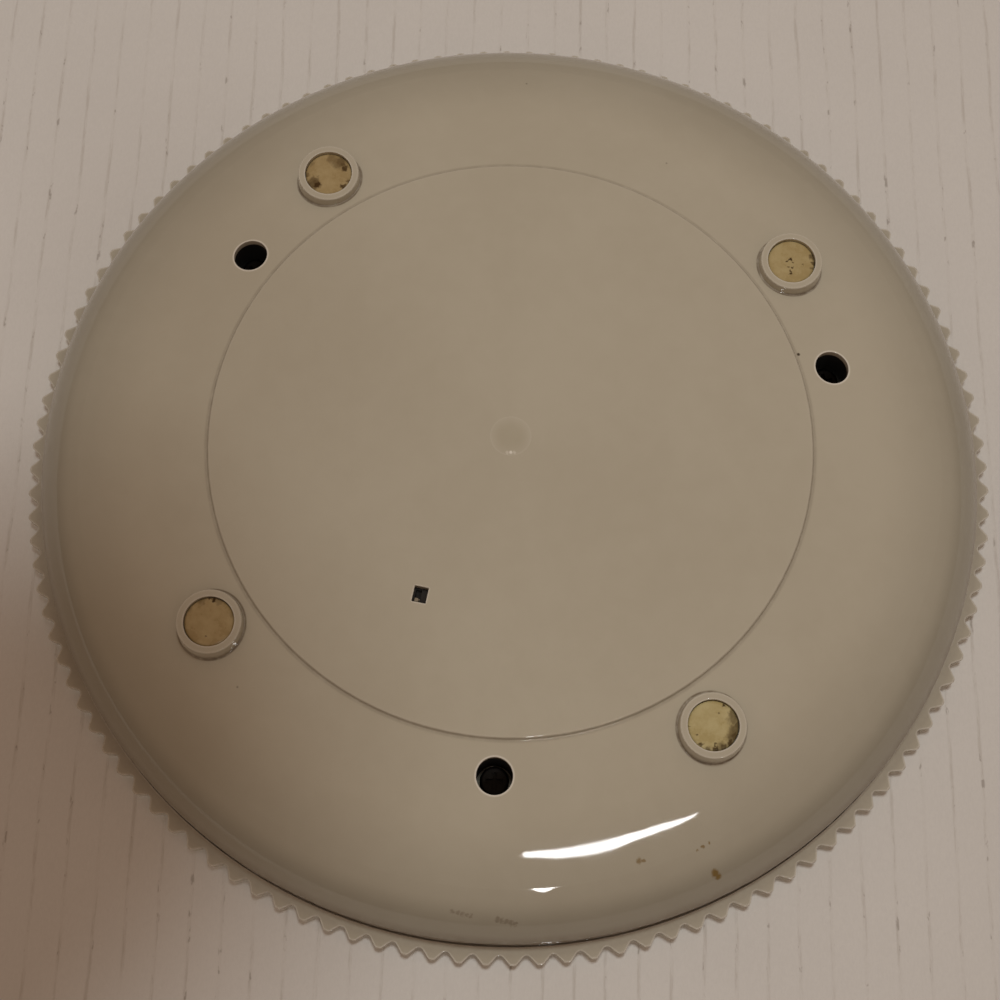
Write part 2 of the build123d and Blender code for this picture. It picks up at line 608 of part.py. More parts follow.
def platform_envelope():
    """Turned shape that rounds the upper edge of the flutes and softens the lower one."""
    corner = 2.6
    side = TIP_RADIUS + 0.6
    lines = Polyline((RIM_INNER_RADIUS, RIM_FACE_Z), (TIP_RADIUS - 0.4, RIM_FACE_Z), (side, RIM_FACE_Z + 1.0),
                     (side, BORDER_Z - corner))
    bend = corner * (1 - math.sqrt(0.5))
    arc_end = (side - corner, BORDER_Z)
    lines += ThreePointArc((side, BORDER_Z - corner), (side - bend, BORDER_Z - bend), arc_end)
    lines += Polyline(arc_end, (BORDER_INNER_RADIUS, BORDER_Z),
                      (BORDER_INNER_RADIUS, RECESS_Z), (0, RECESS_Z), (0, PLATE_UNDERSIDE_Z),
                      (RIM_INNER_RADIUS, PLATE_UNDERSIDE_Z), (RIM_INNER_RADIUS, RIM_FACE_Z))
    return revolve(Plane.XZ * make_face(lines), axis=Axis.Z)


def platform_ribs():
    """Ribs below the plate; the one toward the display stops short of it."""
    depth = 5.4
    low = PLATE_UNDERSIDE_Z - depth
    ribs = Part()
    for radius in (50.0, 84.0, 141.2):
        ribs += post(radius + 0.8, low, PLATE_UNDERSIDE_Z) - post(radius - 0.8, low, PLATE_UNDERSIDE_Z)
    for angle in (0, 30, 45, 60, 90, 120, 135, 150, 180, 225, 270, 315):
        outer = 100.0 if angle == 90 else 141.2
        ribs += around((50.0 + outer) / 2, angle) * block(outer - 50.0, 1.6, low, PLATE_UNDERSIDE_Z)
    return ribs


def platform():
    """Plate with a fluted rim, ribs and the posts that reach down into the base."""
    blank = Pos(0, 0, RIM_FACE_Z) * extrude(flute_outline(), BORDER_Z - RIM_FACE_Z)
    plate = blank & platform_envelope()
    plate += platform_ribs()
    for angle in STATIONS.values():
        plate += around(STATION_RADIUS, angle) * post(POST_RADIUS, POST_END_Z, PLATE_UNDERSIDE_Z)
    for angle in ACCESS_ANGLES:
        plate += around(ACCESS_RADIUS, angle) * post(POST_RADIUS, HOLD_POST_Z, PLATE_UNDERSIDE_Z)
    for angle in STATIONS.values():
        plate -= around(STATION_RADIUS, angle) * post(STUD_RADIUS + SCREW_FIT, POST_END_Z, STUD_TOP_Z)
    for angle in ACCESS_ANGLES:
        thread = post(THREAD_RADIUS + SCREW_FIT, HOLD_POST_Z, HOLD_POST_Z + THREAD_LENGTH + 0.5)
        plate -= around(ACCESS_RADIUS, angle) * thread
    plate -= at(0, DISPLAY_Y) * block(*WINDOW_SIZE, PLATE_UNDERSIDE_Z, RECESS_Z)
    return plate


def tread_mat():
    """Thin mat in the recess of the platform with an opening for the display bezel."""
    mat = post(BORDER_INNER_RADIUS - FIT, RECESS_Z, MAT_TOP_Z)
    mat = fillet(mat.edges().sort_by(Axis.Z)[-1], 0.5)
    length = BEZEL_SIZE[0] + 2 * FIT
    width = BEZEL_SIZE[1] + 2 * FIT
    return mat - at(0, DISPLAY_Y) * rounded_block(length, width, 3.1, RECESS_Z, MAT_TOP_Z)


def display_bezel():
    """Frame that holds the lens down on the platform."""
    bezel = rounded_block(*BEZEL_SIZE, 3.0, RECESS_Z, MAT_TOP_Z)
    bezel = fillet(bezel.edges().group_by(Axis.Z)[-1], 0.4)
    lens_top = RECESS_Z + LENS_SIZE[2]
    bezel -= block(LENS_SIZE[0] + 2 * FIT, LENS_SIZE[1] + 2 * FIT, RECESS_Z, lens_top)
    bezel -= rounded_block(*BEZEL_OPENING, 1.5, lens_top, MAT_TOP_Z)
    return at(0, DISPLAY_Y) * bezel


def display_lens():
    """Clear window over the panel."""
    return at(0, DISPLAY_Y) * block(LENS_SIZE[0], LENS_SIZE[1], RECESS_Z, RECESS_Z + LENS_SIZE[2])


def pressure_studs():
    """Domed steel studs that press on the tongues of the load cells."""
    stud = post(STUD_RADIUS, STUD_TIP_Z, STUD_TOP_Z)
    stud = fillet(stud.edges().sort_by(Axis.Z)[0], 1.2)
    return [around(STATION_RADIUS, angle) * stud for angle in STATIONS.values()]


def hold_down_screws():
    """Shoulder screws that keep the platform on the base and can sink with it."""
    underside = SCREW_HEAD_Z + SCREW_HEAD_HEIGHT
    head = post(SCREW_HEAD_RADIUS, SCREW_HEAD_Z, underside)
    head = fillet(head.edges().sort_by(Axis.Z)[0], 0.8)
    slot = block(5.0, 1.2, SCREW_HEAD_Z, SCREW_HEAD_Z + 1.3)
    screw = head - slot - Rot(0, 0, 90) * slot
    screw += post(SHOULDER_RADIUS, underside, HOLD_POST_Z)
    screw += post(THREAD_RADIUS, HOLD_POST_Z, HOLD_POST_Z + THREAD_LENGTH)
    return [around(ACCESS_RADIUS, angle) * screw for angle in ACCESS_ANGLES]


def hold_down_springs():
    """Coil springs between the bridges and the heads of the hold-down screws."""
    height = BRIDGE_Z - SCREW_HEAD_Z - SCREW_HEAD_HEIGHT - 2 * SPRING_WIRE - 0.1
    coil = Helix(height / SPRING_TURNS, height, SPRING_RADIUS)
    section = Plane(origin=coil @ 0, z_dir=coil % 0) * Circle(SPRING_WIRE)
    spring = sweep(section, path=coil)
    low = BRIDGE_Z - height - SPRING_WIRE - 0.02
    return [around(ACCESS_RADIUS, angle, low) * spring for angle in ACCESS_ANGLES]


# ---------------------------------------------------------------- write every piece
def main():
    os.makedirs("parts", exist_ok=True)
    save("base_shell", base_shell())
    for name, angle in STATIONS.items():
        place = around(STATION_RADIUS, angle)
        save("foot_pad_" + name, place * foot_pad())
        save("load_cell_" + name, place * load_cell())
        save("load_cell_cradle_" + name, place * load_cell_cradle())
        save("strain_gauge_" + name, place * strain_gauge())
        save("load_cell_lead_" + name, load_cell_lead(angle))
    save_group("screw_sleeves", screw_sleeves())
    save_group("cradle_screws", cradle_screws())
    save("circuit_board", circuit_board())
    save_group("board_screws", board_screws())
    save("controller_chip", controller_chip())
    save("converter_chip", converter_chip())
    save("clock_crystal", clock_crystal())
    save_group("board_capacitors", board_capacitors())
    save_group("lead_connectors", lead_connectors())
    save("battery_connector", battery_connector())
    save("selector_body", selector_body())
    save("selector_slider", selector_slider())
    save("display_board", display_board())
    save("lcd_frame", lcd_frame())
    save("lcd_panel", lcd_panel())
    save_group("contact_strips", contact_strips())
    save("light_gasket", light_gasket())
    save("display_ribbon", display_ribbon())
    save("battery_tray", battery_tray())
    save("battery_cell", battery_cell())
    save_group("battery_contacts", battery_contacts())
    save_group("battery_leads", battery_leads())
    save("platform", platform())
    save("tread_mat", tread_mat())
    save("display_bezel", display_bezel())
    save("display_lens", display_lens())
    save_group("pressure_studs", pressure_studs())
    save_group("hold_down_screws", hold_down_screws())
    save_group("hold_down_springs", hold_down_springs())


main()
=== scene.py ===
import json
import math

import bpy
from mathutils import Matrix, Vector, noise


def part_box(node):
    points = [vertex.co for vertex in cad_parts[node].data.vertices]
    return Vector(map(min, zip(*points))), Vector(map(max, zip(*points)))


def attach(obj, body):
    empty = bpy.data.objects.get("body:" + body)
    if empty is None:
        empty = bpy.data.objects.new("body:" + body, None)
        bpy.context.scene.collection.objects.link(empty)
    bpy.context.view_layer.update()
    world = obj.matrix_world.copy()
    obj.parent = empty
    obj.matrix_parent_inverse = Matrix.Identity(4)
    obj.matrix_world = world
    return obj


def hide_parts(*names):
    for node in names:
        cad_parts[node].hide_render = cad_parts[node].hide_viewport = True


# Looks of a round digital bathroom scale that is seen from below, as it lies on its platform.
# Metres, in the CAD frame: Z is the axis of the housing, the feet stand on z = 0.

# ---------------------------------------------------------------- driving values
MM = 0.001
LENS = 57.57                    # focal length for a sensor 36 mm wide
VIEW_AZIMUTH = 169.5            # where the camera stands round Z, and how far above the horizon
VIEW_ELEVATION = -72.78
VIEW_ROLL = 181.257
VIEW_POSITION = (0.02651, 0.15846, -0.45160)
PICTURE_TURN = 349.5            # from the picture's directions to those of the CAD frame

TABLE_Z = 0.0374                # paper that the mat lies on when the scale is turned over
TABLE_HOLE = 0.147
TABLE_SIZE = 2.2
FLOOR_RADIUS = 20.0
FLOOR_Z = -0.00012              # just below the faces of the feet

PLATEAU_Z = 0.0014
STATION_RADIUS = 0.1045
STATIONS = {"front_left": 225, "front_right": 315, "rear_right": 45, "rear_left": 135}
PAD_RADIUS = 0.0073
FOOT_RADIUS = 0.0101
ACCESS_RADIUS = 0.1013          # the round openings below the hold-down screws
ACCESS_ANGLES = (205, 335, 81)
ACCESS_HOLE_RADIUS = 0.00525
SEAM_RADIUS = 0.1464
STEP_RADIUS = 0.0910
DOME_CENTRE = (0.06396, 0.22268)    # (radius, z) of the middle of the dome's arc
DOME_CURVE = 0.22191
SHOULDER_START = 0.132          # the dome turns into a tighter shoulder from this radius on
SHOULDER_CURVE = 0.02397
DISPLAY_Y = 0.120
# name, lowest and highest z, seed and size of the unevenness
FLASH_RINGS = (("flash_seam", 0.03120, 0.03150, 1.0, 0.00022),
               ("flash_parting", 0.02640, 0.02670, 6.0, 0.00016))

PAPER_LINE_PITCH = 0.0095
WARP_DETAIL = 900.0             # how finely the outlines of spots waver
# tone of the painted shade in the crease, along the seam and round the feet
PAINTED_SHADE_TONE = (0.20, 0.155, 0.105)
# colour of the painted highlight along sharp edges
EDGE_HIGHLIGHT = (0.95, 0.92, 0.86)
EDGE_WIDTH = 0.0010             # how far from an edge the painted highlight reaches

MAIN_AZIMUTH = 8.0
MAIN_ELEVATION = -84.0
LAMP_DISTANCE = 1.6
LAMP_TARGET = Vector((0.0, 0.0, 0.03))


# ---------------------------------------------------------------- material building
class Recipe:
    """One material in the making: its node tree, its shader and the CAD position of a point."""

    def __init__(self, name):
        self.material = bpy.data.materials.new(name)
        self.material.use_nodes = True
        self.tree = self.material.node_tree
        self.shader = self.tree.nodes["Principled BSDF"]
        self.point = self.tree.nodes.new("ShaderNodeTexCoord").outputs["Object"]

    def node(self, kind, **settings):
        made = self.tree.nodes.new(kind)
        for key, value in settings.items():
            setattr(made, key, value)
        return made

    def feed(self, socket, value):
        """Links an output to a socket, or writes a plain value into it."""
        if isinstance(value, bpy.types.NodeSocket):
            self.tree.links.new(value, socket)
        elif isinstance(value, (tuple, list)) and len(socket.default_value) == 4:
            socket.default_value = (*value, 1.0)
        else:
            socket.default_value = value

    def put(self, **sockets):
        """Sets sockets of the shader by name, with _ for a space."""
        for key, value in sockets.items():
            self.feed(self.shader.inputs[key.replace("_", " ")], value)

    def calc(self, operation, first, second=0.0):
        made = self.node("ShaderNodeMath", operation=operation)
        for socket, value in zip(made.inputs, (first, second)):
            self.feed(socket, value)
        return made.outputs[0]

    def vector(self, operation, first, second):
        made = self.node("ShaderNodeVectorMath", operation=operation)
        self.feed(made.inputs[0], first)
        self.feed(made.inputs[1], second)
        return made.outputs["Value" if operation in ("DISTANCE", "LENGTH", "DOT_PRODUCT") else "Vector"]

    def stretched(self, scale, turn=0.0):
        """The point in a frame turned about Z, then stretched."""
        turned = self.node("ShaderNodeVectorRotate", rotation_type="Z_AXIS")
        self.feed(turned.inputs["Vector"], self.point)
        turned.inputs["Angle"].default_value = math.radians(turn)
        return self.vector("MULTIPLY", turned.outputs[0], scale)

    def noise(self, size, detail=3.0, rough=0.55, point=None):
        """Smooth noise from 0 to 1 whose features are about `size` metres across."""
        made = self.node("ShaderNodeTexNoise")
        self.feed(made.inputs["Vector"], point or self.point)
        made.inputs["Scale"].default_value = 1.0 / size
        made.inputs["Detail"].default_value = detail
        made.inputs["Roughness"].default_value = rough
        return made.outputs[0]

    def cells(self, size):
        """Distance to the nearest of scattered points about `size` metres apart."""
        made = self.node("ShaderNodeTexVoronoi")
        self.feed(made.inputs["Vector"], self.point)
        made.inputs["Scale"].default_value = 1.0 / size
        return made.outputs["Distance"]

    def ease(self, value, low, high, start=0.0, end=1.0):
        """Smooth step from start to end while the value goes from low to high."""
        made = self.node("ShaderNodeMapRange", interpolation_type="SMOOTHSTEP")
        for key, number in (("Value", value), ("From Min", low), ("From Max", high),
                            ("To Min", start), ("To Max", end)):
            self.feed(made.inputs[key], number)
        return made.outputs[0]

    def mix(self, factor, first, second):
        made = self.node("ShaderNodeMix", data_type="RGBA")
        self.feed(made.inputs["Factor"], factor)
        self.feed(made.inputs[6], first)
        self.feed(made.inputs[7], second)
        return made.outputs[2]

    def flat(self):
        """The point without its height."""
        return self.vector("MULTIPLY", self.point, (1.0, 1.0, 0.0))

    def from_axis(self):
        """Distance of the point from the housing axis."""
        return self.vector("LENGTH", self.flat(), (0.0, 0.0, 0.0))

    def away_from(self, x, y):
        """Distance of the point from an upright line."""
        return self.vector("DISTANCE", self.flat(), (x, y, 0.0))

    def height(self):
        split = self.node("ShaderNodeSeparateXYZ")
        self.feed(split.inputs[0], self.point)
        return split.outputs["Z"]

    def band(self, value, middle, half_width):
        """1 in the middle of a band of values, 0 outside it."""
        away = self.calc("ABSOLUTE", self.calc("SUBTRACT", value, middle))
        return self.ease(away, half_width * 0.25, half_width, 1.0, 0.0)

    def spots(self, places, warp=0.0):
        """Highest of several soft round spots, each (x, y, radius, depth) in metres; z is ignored."""
        flat = self.flat()
        if warp:
            jitter = self.node("ShaderNodeTexNoise")
            self.feed(jitter.inputs["Vector"], self.point)
            jitter.inputs["Scale"].default_value = WARP_DETAIL
            centred = self.vector("SUBTRACT", jitter.outputs[1], (0.5, 0.5, 0.5))
            flat = self.vector("ADD", flat, self.vector("MULTIPLY", centred, (warp, warp, 0.0)))
        total = 0.0
        for x, y, radius, depth in places:
            gap = self.vector("DISTANCE", flat, (x, y, 0.0))
            mask = self.ease(gap, radius * 0.45, radius * 1.15, depth, 0.0)
            total = self.calc("MAXIMUM", total, mask)
        return total

    def relief(self, height, distance, strength=1.0, normal=None):
        """Bump from a height of 0 to 1 that stands for `distance` metres."""
        made = self.node("ShaderNodeBump")
        made.inputs["Distance"].default_value = distance
        made.inputs["Strength"].default_value = strength
        self.feed(made.inputs["Height"], height)
        if normal is not None:
            self.feed(made.inputs["Normal"], normal)
        return made.outputs[0]

    def round_edges(self, radius):
        """Normal that is softened along sharp edges."""
        made = self.node("ShaderNodeBevel", samples=4)
        made.inputs["Radius"].default_value = radius
        return made.outputs[0]


def in_picture(right, up):
    """A small step to the right and up, as seen from below, in the CAD frame."""
    turn = math.radians(PICTURE_TURN)
    x = right * math.cos(turn) + up * math.sin(turn)
    y = right * math.sin(turn) - up * math.cos(turn)
    return x, y


def station(name):
    angle = math.radians(STATIONS[name])
    return STATION_RADIUS * math.cos(angle), STATION_RADIUS * math.sin(angle)


def shell_finish(recipe, light, dark, roughness, edge_shine):
    """Glossy moulded plastic: cloudy colour, a painted highlight along the edges, moulding waves, fine
    grain.
    """
    clouds = recipe.noise(0.075, 4.0, 0.6)
    mottle = recipe.noise(0.006, 4.0, 0.6)
    tone = recipe.calc("ADD", recipe.calc("MULTIPLY", clouds, 0.75), recipe.calc("MULTIPLY", mottle, 0.25))
    colour = recipe.mix(recipe.ease(tone, 0.32, 0.68), dark, light)
    gloss = recipe.ease(recipe.noise(0.012, 5.0, 0.65), 0.3, 0.75, roughness * 0.7, roughness * 1.6)
    facing = recipe.node("ShaderNodeNewGeometry").outputs["Normal"]
    near_edge = recipe.vector("DOT_PRODUCT", recipe.round_edges(EDGE_WIDTH), facing)
    # painted highlight: the plastic is paler near sharp edges
    colour = recipe.mix(recipe.ease(near_edge, 0.86, 0.995, edge_shine, 0.0), colour, EDGE_HIGHLIGHT)
    waves = recipe.relief(recipe.noise(0.030, 2.0), 0.000022, 1.0, recipe.round_edges(0.0004))
    grain = recipe.relief(recipe.noise(0.0012, 2.0), 0.0000012, 1.0, waves)
    recipe.put(Roughness=gloss, Normal=grain)
    return colour


def base_plastic():
    """Underside housing: painted shade toward its edge, in the crease, along the seam and round the feet;
    painted highlights round the openings and at the gate mark; scuffs and a few brown specks.
    """
    recipe = Recipe("base_plastic")
    colour = shell_finish(recipe, (0.590, 0.550, 0.450), (0.552, 0.510, 0.412), 0.034, 0.60)
    radius = recipe.from_axis()
    patch_noise = recipe.noise(0.004, 4.0, 0.7)
    # painted shade: the dome darkens toward its shoulder and edge
    dome_shade = recipe.ease(radius, 0.110, 0.138, 0.0, 0.20)
    shoulder_shade = recipe.ease(radius, 0.135, 0.142, 0.0, 0.16)
    colour = recipe.mix(recipe.calc("ADD", dome_shade, shoulder_shade), colour, (0.05, 0.042, 0.032))
    # painted shade in the crease at the step, along the seam and round the root of each foot
    crease = recipe.band(radius, STEP_RADIUS + 0.0003, 0.0011)
    seam = recipe.ease(radius, SEAM_RADIUS - 0.0022, SEAM_RADIUS)
    painted_shade = recipe.calc("MAXIMUM", recipe.calc("MULTIPLY", crease, 0.30), recipe.calc("MULTIPLY", seam, 0.55))
    for name in STATIONS:
        root = recipe.band(recipe.away_from(*station(name)), FOOT_RADIUS + 0.0001, 0.0005)
        painted_shade = recipe.calc("MAXIMUM", painted_shade, recipe.calc("MULTIPLY", root, 0.85))
    painted_shade = recipe.calc("MULTIPLY", painted_shade, recipe.ease(patch_noise, 0.25, 0.6, 0.45, 1.0))
    colour = recipe.mix(painted_shade, colour, PAINTED_SHADE_TONE)
    # painted highlight: a pale ring round each access opening
    lightened = 0.0
    for degrees in ACCESS_ANGLES:
        angle = math.radians(degrees)
        from_hole = recipe.away_from(ACCESS_RADIUS * math.cos(angle), ACCESS_RADIUS * math.sin(angle))
        rim = recipe.band(from_hole, ACCESS_HOLE_RADIUS + 0.0001, 0.0006)
        lightened = recipe.calc("MAXIMUM", lightened, rim)
    colour = recipe.mix(recipe.calc("MULTIPLY", lightened, 0.6), colour, (0.92, 0.89, 0.81))
    trail = [(0.0116 + 0.0014 * step, 0.1384, 0.0007, 0.45) for step in range(5)]
    trail += [(0.0245 + 0.0013 * step, 0.1380, 0.0008, 0.55) for step in range(5)]
    colour = recipe.mix(recipe.spots(trail, 0.0022), colour, (0.20, 0.16, 0.115))
    specks = recipe.spots([(0.0829, 0.1127, 0.0013, 0.9), (0.0840, 0.1133, 0.0010, 0.9),
                           (0.0606, 0.1142, 0.0010, 0.7), (0.0618, 0.1140, 0.0007, 0.7),
                           (0.0778, 0.1066, 0.0006, 0.75), (0.0793, 0.1052, 0.0006, 0.75),
                           (0.0765, 0.1080, 0.0004, 0.6)], 0.0012)
    colour = recipe.mix(specks, colour, (0.22, 0.135, 0.03))
    dots = recipe.spots([(0.0809, -0.0444, 0.0006, 0.95), (-0.0200, -0.1240, 0.0004, 0.4),
                         (0.0300, -0.1020, 0.0004, 0.35), (-0.0620, 0.0900, 0.0004, 0.4)])
    colour = recipe.mix(dots, colour, (0.05, 0.035, 0.02))
    gate = recipe.spots([(0.0, 0.0, 0.0056, 0.30)])
    colour = recipe.mix(gate, colour, (0.45, 0.41, 0.30))
    # painted glint at the lower edge of the gate mark
    gate_glint = [(*in_picture(right * MM, -5.3 * MM), 0.6 * MM, depth)
            for right, depth in ((-1.0, 0.35), (0.1, 0.9), (1.2, 0.4))]
    colour = recipe.mix(recipe.spots(gate_glint, 0.0006), colour, (0.95, 0.92, 0.84))
    recipe.put(Base_Color=colour, IOR=1.5)
    return recipe.material


def platform_plastic():
    """Platform and its fluted rim: a duller plastic, with grey dust in the flutes and painted shade along
    the gap to the base.
    """
    recipe = Recipe("platform_plastic")
    colour = shell_finish(recipe, (0.530, 0.492, 0.410), (0.495, 0.457, 0.375), 0.16, 0.85)
    radius = recipe.from_axis()
    valley = recipe.ease(radius, 0.1494, 0.1512, 0.30, 0.0)
    patch_noise = recipe.noise(0.003, 4.0, 0.7)
    # painted shade along the gap to the base
    gap = recipe.ease(radius, SEAM_RADIUS + 0.0006, SEAM_RADIUS + 0.0018, 0.45, 0.0)
    dust_and_gap_shade = recipe.calc("MAXIMUM", valley, gap)
    dust_and_gap_shade = recipe.calc("MULTIPLY", dust_and_gap_shade, recipe.ease(patch_noise, 0.3, 0.65, 0.3, 1.0))
    colour = recipe.mix(dust_and_gap_shade, colour, (0.34, 0.30, 0.25))
    recipe.put(Base_Color=colour, IOR=1.5)
    return recipe.material


# Stains: millimetres to the right and up of the middle of the pad, radius, depth.
PAD_STAINS = {
    "front_left": [
        (2.6, 4.2, 2.6, 0.45), (0.6, 5.4, 1.8, 0.4), (5.1, 2.0, 1.2, 0.85), (4.3, 3.4, 1.0, 0.7),
        (-3.5, -3.8, 1.5, 0.95), (-4.8, -2.4, 1.6, 0.6), (-5.6, -3.4, 1.2, 0.7), (5.0, -4.3, 1.2, 0.85),
        (-4.2, -3.4, 2.2, 0.7), (3.6, 4.4, 2.2, 0.6), (6.4, -2.4, 0.9, 0.6), (-6.6, -0.6, 0.9, 0.5),
        (-3.4, -0.9, 0.5, 0.35), (-5.4, 3.4, 1.0, 0.3),
    ],
    "front_right": [
        (-1.2, -0.1, 0.45, 0.95), (0.0, 0.7, 0.6, 0.95), (0.6, -0.2, 0.45, 0.95), (-0.7, 0.4, 0.4, 0.9),
        (-0.9, -1.8, 0.55, 0.7), (0.2, -2.1, 0.5, 0.75), (-0.3, -3.2, 0.4, 0.8), (-0.4, -4.1, 0.65, 0.95),
        (3.5, -1.0, 0.4, 0.7), (6.5, 1.9, 1.1, 0.7), (6.9, -0.4, 0.9, 0.75), (6.3, -2.0, 0.7, 0.5),
        (-6.0, -4.2, 0.7, 0.5),
    ],
    "rear_left": [
        (0.9, 6.6, 0.8, 0.95), (-0.2, 6.9, 0.6, 0.85), (-0.6, -4.3, 0.35, 0.7), (2.4, 6.2, 1.4, 0.35),
        (-2.4, 6.2, 1.4, 0.3), (6.4, 2.4, 1.0, 0.25), (-5.8, 3.6, 0.9, 0.25),
    ],
    "rear_right": [
        (3.1, 5.9, 0.75, 0.95), (1.8, 3.7, 0.4, 0.6), (5.7, 3.1, 1.6, 0.65), (6.9, 0.3, 1.3, 0.75),
        (6.4, -2.8, 1.7, 0.85), (4.9, -4.7, 1.5, 0.9), (3.0, -6.2, 1.4, 0.8), (0.6, -6.6, 1.2, 0.9),
        (-1.6, -6.6, 1.0, 0.6), (-3.6, -5.5, 0.7, 0.8), (-6.8, -0.2, 0.4, 0.75), (-4.6, -2.8, 0.35, 0.7),
        (0.4, -5.3, 0.45, 0.8), (6.2, -1.2, 2.2, 0.7), (5.4, -3.6, 2.2, 0.7), (5.6, 2.0, 1.9, 0.6),
        (2.4, -6.0, 1.8, 0.55),
    ],
}

# How brown rather than yellow each pad has become.
PAD_BROWN = {"front_left": 0.95, "front_right": 0.55, "rear_left": 1.0, "rear_right": 0.05}


def pad_rubber():
    """Yellowed glossy pads with brown stains that gather at their edges."""
    recipe = Recipe("pad_rubber")
    clouds = recipe.ease(recipe.noise(0.0045, 4.0, 0.65), 0.3, 0.7)
    yellow = recipe.mix(clouds, (0.50, 0.41, 0.19), (0.62, 0.54, 0.29))
    brown = recipe.mix(clouds, (0.40, 0.29, 0.135), (0.50, 0.385, 0.20))
    shade = [(*station(name), PAD_RADIUS * 2, depth) for name, depth in PAD_BROWN.items()]
    colour = recipe.mix(recipe.spots(shade), yellow, brown)
    places = []
    for name, stains in PAD_STAINS.items():
        x, y = station(name)
        for right, up, radius, depth in stains:
            dx, dy = in_picture(right * MM, up * MM)
            places.append((x + dx, y + dy, radius * MM, depth))
    stained = recipe.spots(places, 0.0022)
    patchy = recipe.ease(recipe.noise(0.0011, 4.0, 0.7), 0.25, 0.6, 0.85, 1.0)
    colour = recipe.mix(recipe.calc("MULTIPLY", stained, patchy), colour, (0.045, 0.018, 0.004))
    freckles = recipe.ease(recipe.cells(0.0011), 0.05, 0.12, 0.35, 0.0)
    colour = recipe.mix(recipe.calc("MULTIPLY", freckles, clouds), colour, (0.20, 0.12, 0.04))
    lumps = recipe.relief(recipe.noise(0.0016, 3.0, 0.6), 0.00010)
    crust = recipe.relief(stained, 0.00006, 1.0, lumps)
    recipe.put(Base_Color=colour, Roughness=recipe.ease(clouds, 0.0, 1.0, 0.24, 0.38), Normal=crust)
    recipe.put(IOR=1.5, Specular_IOR_Level=recipe.ease(stained, 0.2, 0.9, 0.5, 0.12))
    return recipe.material


def metal(name, light, dark, roughness, stretch):
    """Metal whose fine streaks run along the axis with the smallest stretch."""
    recipe = Recipe(name)
    streaks = recipe.noise(0.001, 3.0, 0.6, recipe.stretched(stretch))
    patches = recipe.noise(0.009, 3.0, 0.6)
    tone = recipe.ease(recipe.calc("ADD", streaks, recipe.calc("MULTIPLY", patches, 0.6)), 0.5, 1.1)
    recipe.put(Base_Color=recipe.mix(tone, dark, light), Metallic=1.0)
    recipe.put(Roughness=recipe.ease(streaks, 0.2, 0.8, roughness - 0.06, roughness + 0.1))
    recipe.put(Normal=recipe.relief(streaks, 0.00001, 1.0, recipe.round_edges(0.00015)))
    return recipe.material


def plastic(name, light, dark, roughness, grain=0.0006, depth=0.00001):
    """Small moulded part: slight colour clouds, fine grain, softened edges."""
    recipe = Recipe(name)
    clouds = recipe.noise(0.007, 3.0, 0.6)
    speckle = recipe.noise(grain, 2.0)
    tone = recipe.calc("ADD", recipe.calc("MULTIPLY", clouds, 0.6), recipe.calc("MULTIPLY", speckle, 0.4))
    recipe.put(Base_Color=recipe.mix(recipe.ease(tone, 0.3, 0.7), dark, light))
    recipe.put(Roughness=recipe.ease(clouds, 0.25, 0.75, roughness - 0.05, roughness + 0.07))
    recipe.put(Normal=recipe.relief(speckle, depth, 1.0, recipe.round_edges(0.0002)))
    return recipe.material


def mat_vinyl():
    """Ribbed tread mat, a little paler where feet rub it."""
    recipe = Recipe("mat_vinyl")
    grain = recipe.noise(0.0007, 3.0, 0.6)
    clouds = recipe.noise(0.05, 4.0, 0.6)
    tone = recipe.calc("ADD", recipe.calc("MULTIPLY", clouds, 0.7), recipe.calc("MULTIPLY", grain, 0.3))
    colour = recipe.mix(recipe.ease(tone, 0.3, 0.7), (0.225, 0.190, 0.145), (0.275, 0.235, 0.185))
    radius = recipe.from_axis()
    toward_middle = recipe.ease(radius, 0.04, 0.12, 0.35, 0.0)
    lightened = recipe.calc("MULTIPLY", toward_middle, recipe.ease(clouds, 0.4, 0.7))
    top = recipe.ease(recipe.height(), 0.03702, 0.03728)
    crests = recipe.calc("MULTIPLY", top, recipe.ease(grain, 0.4, 0.7, 0.15, 0.45))
    colour = recipe.mix(recipe.calc("MAXIMUM", lightened, crests), colour, (0.36, 0.315, 0.255))
    leather = recipe.relief(recipe.cells(0.0009), 0.00006, 0.7)
    recipe.put(Base_Color=colour, Roughness=recipe.ease(grain, 0.3, 0.7, 0.48, 0.66))
    recipe.put(Normal=recipe.relief(grain, 0.00003, 1.0, leather))
    return recipe.material


def board_laminate():
    """Green board with faint copper lines below the mask."""
    recipe = Recipe("board_laminate")
    tracks = recipe.cells(0.0032)
    lines = recipe.ease(tracks, 0.30, 0.36, 0.0, 1.0)
    weave = recipe.noise(0.0005, 2.0, 0.5, recipe.stretched((1.0, 3.0, 1.0)))
    colour = recipe.mix(lines, (0.022, 0.105, 0.045), (0.035, 0.165, 0.065))
    colour = recipe.mix(recipe.calc("MULTIPLY", weave, 0.25), colour, (0.08, 0.20, 0.09))
    recipe.put(Base_Color=colour, Roughness=recipe.ease(weave, 0.3, 0.7, 0.25, 0.38))
    recipe.put(Normal=recipe.relief(lines, 0.00002))
    return recipe.material


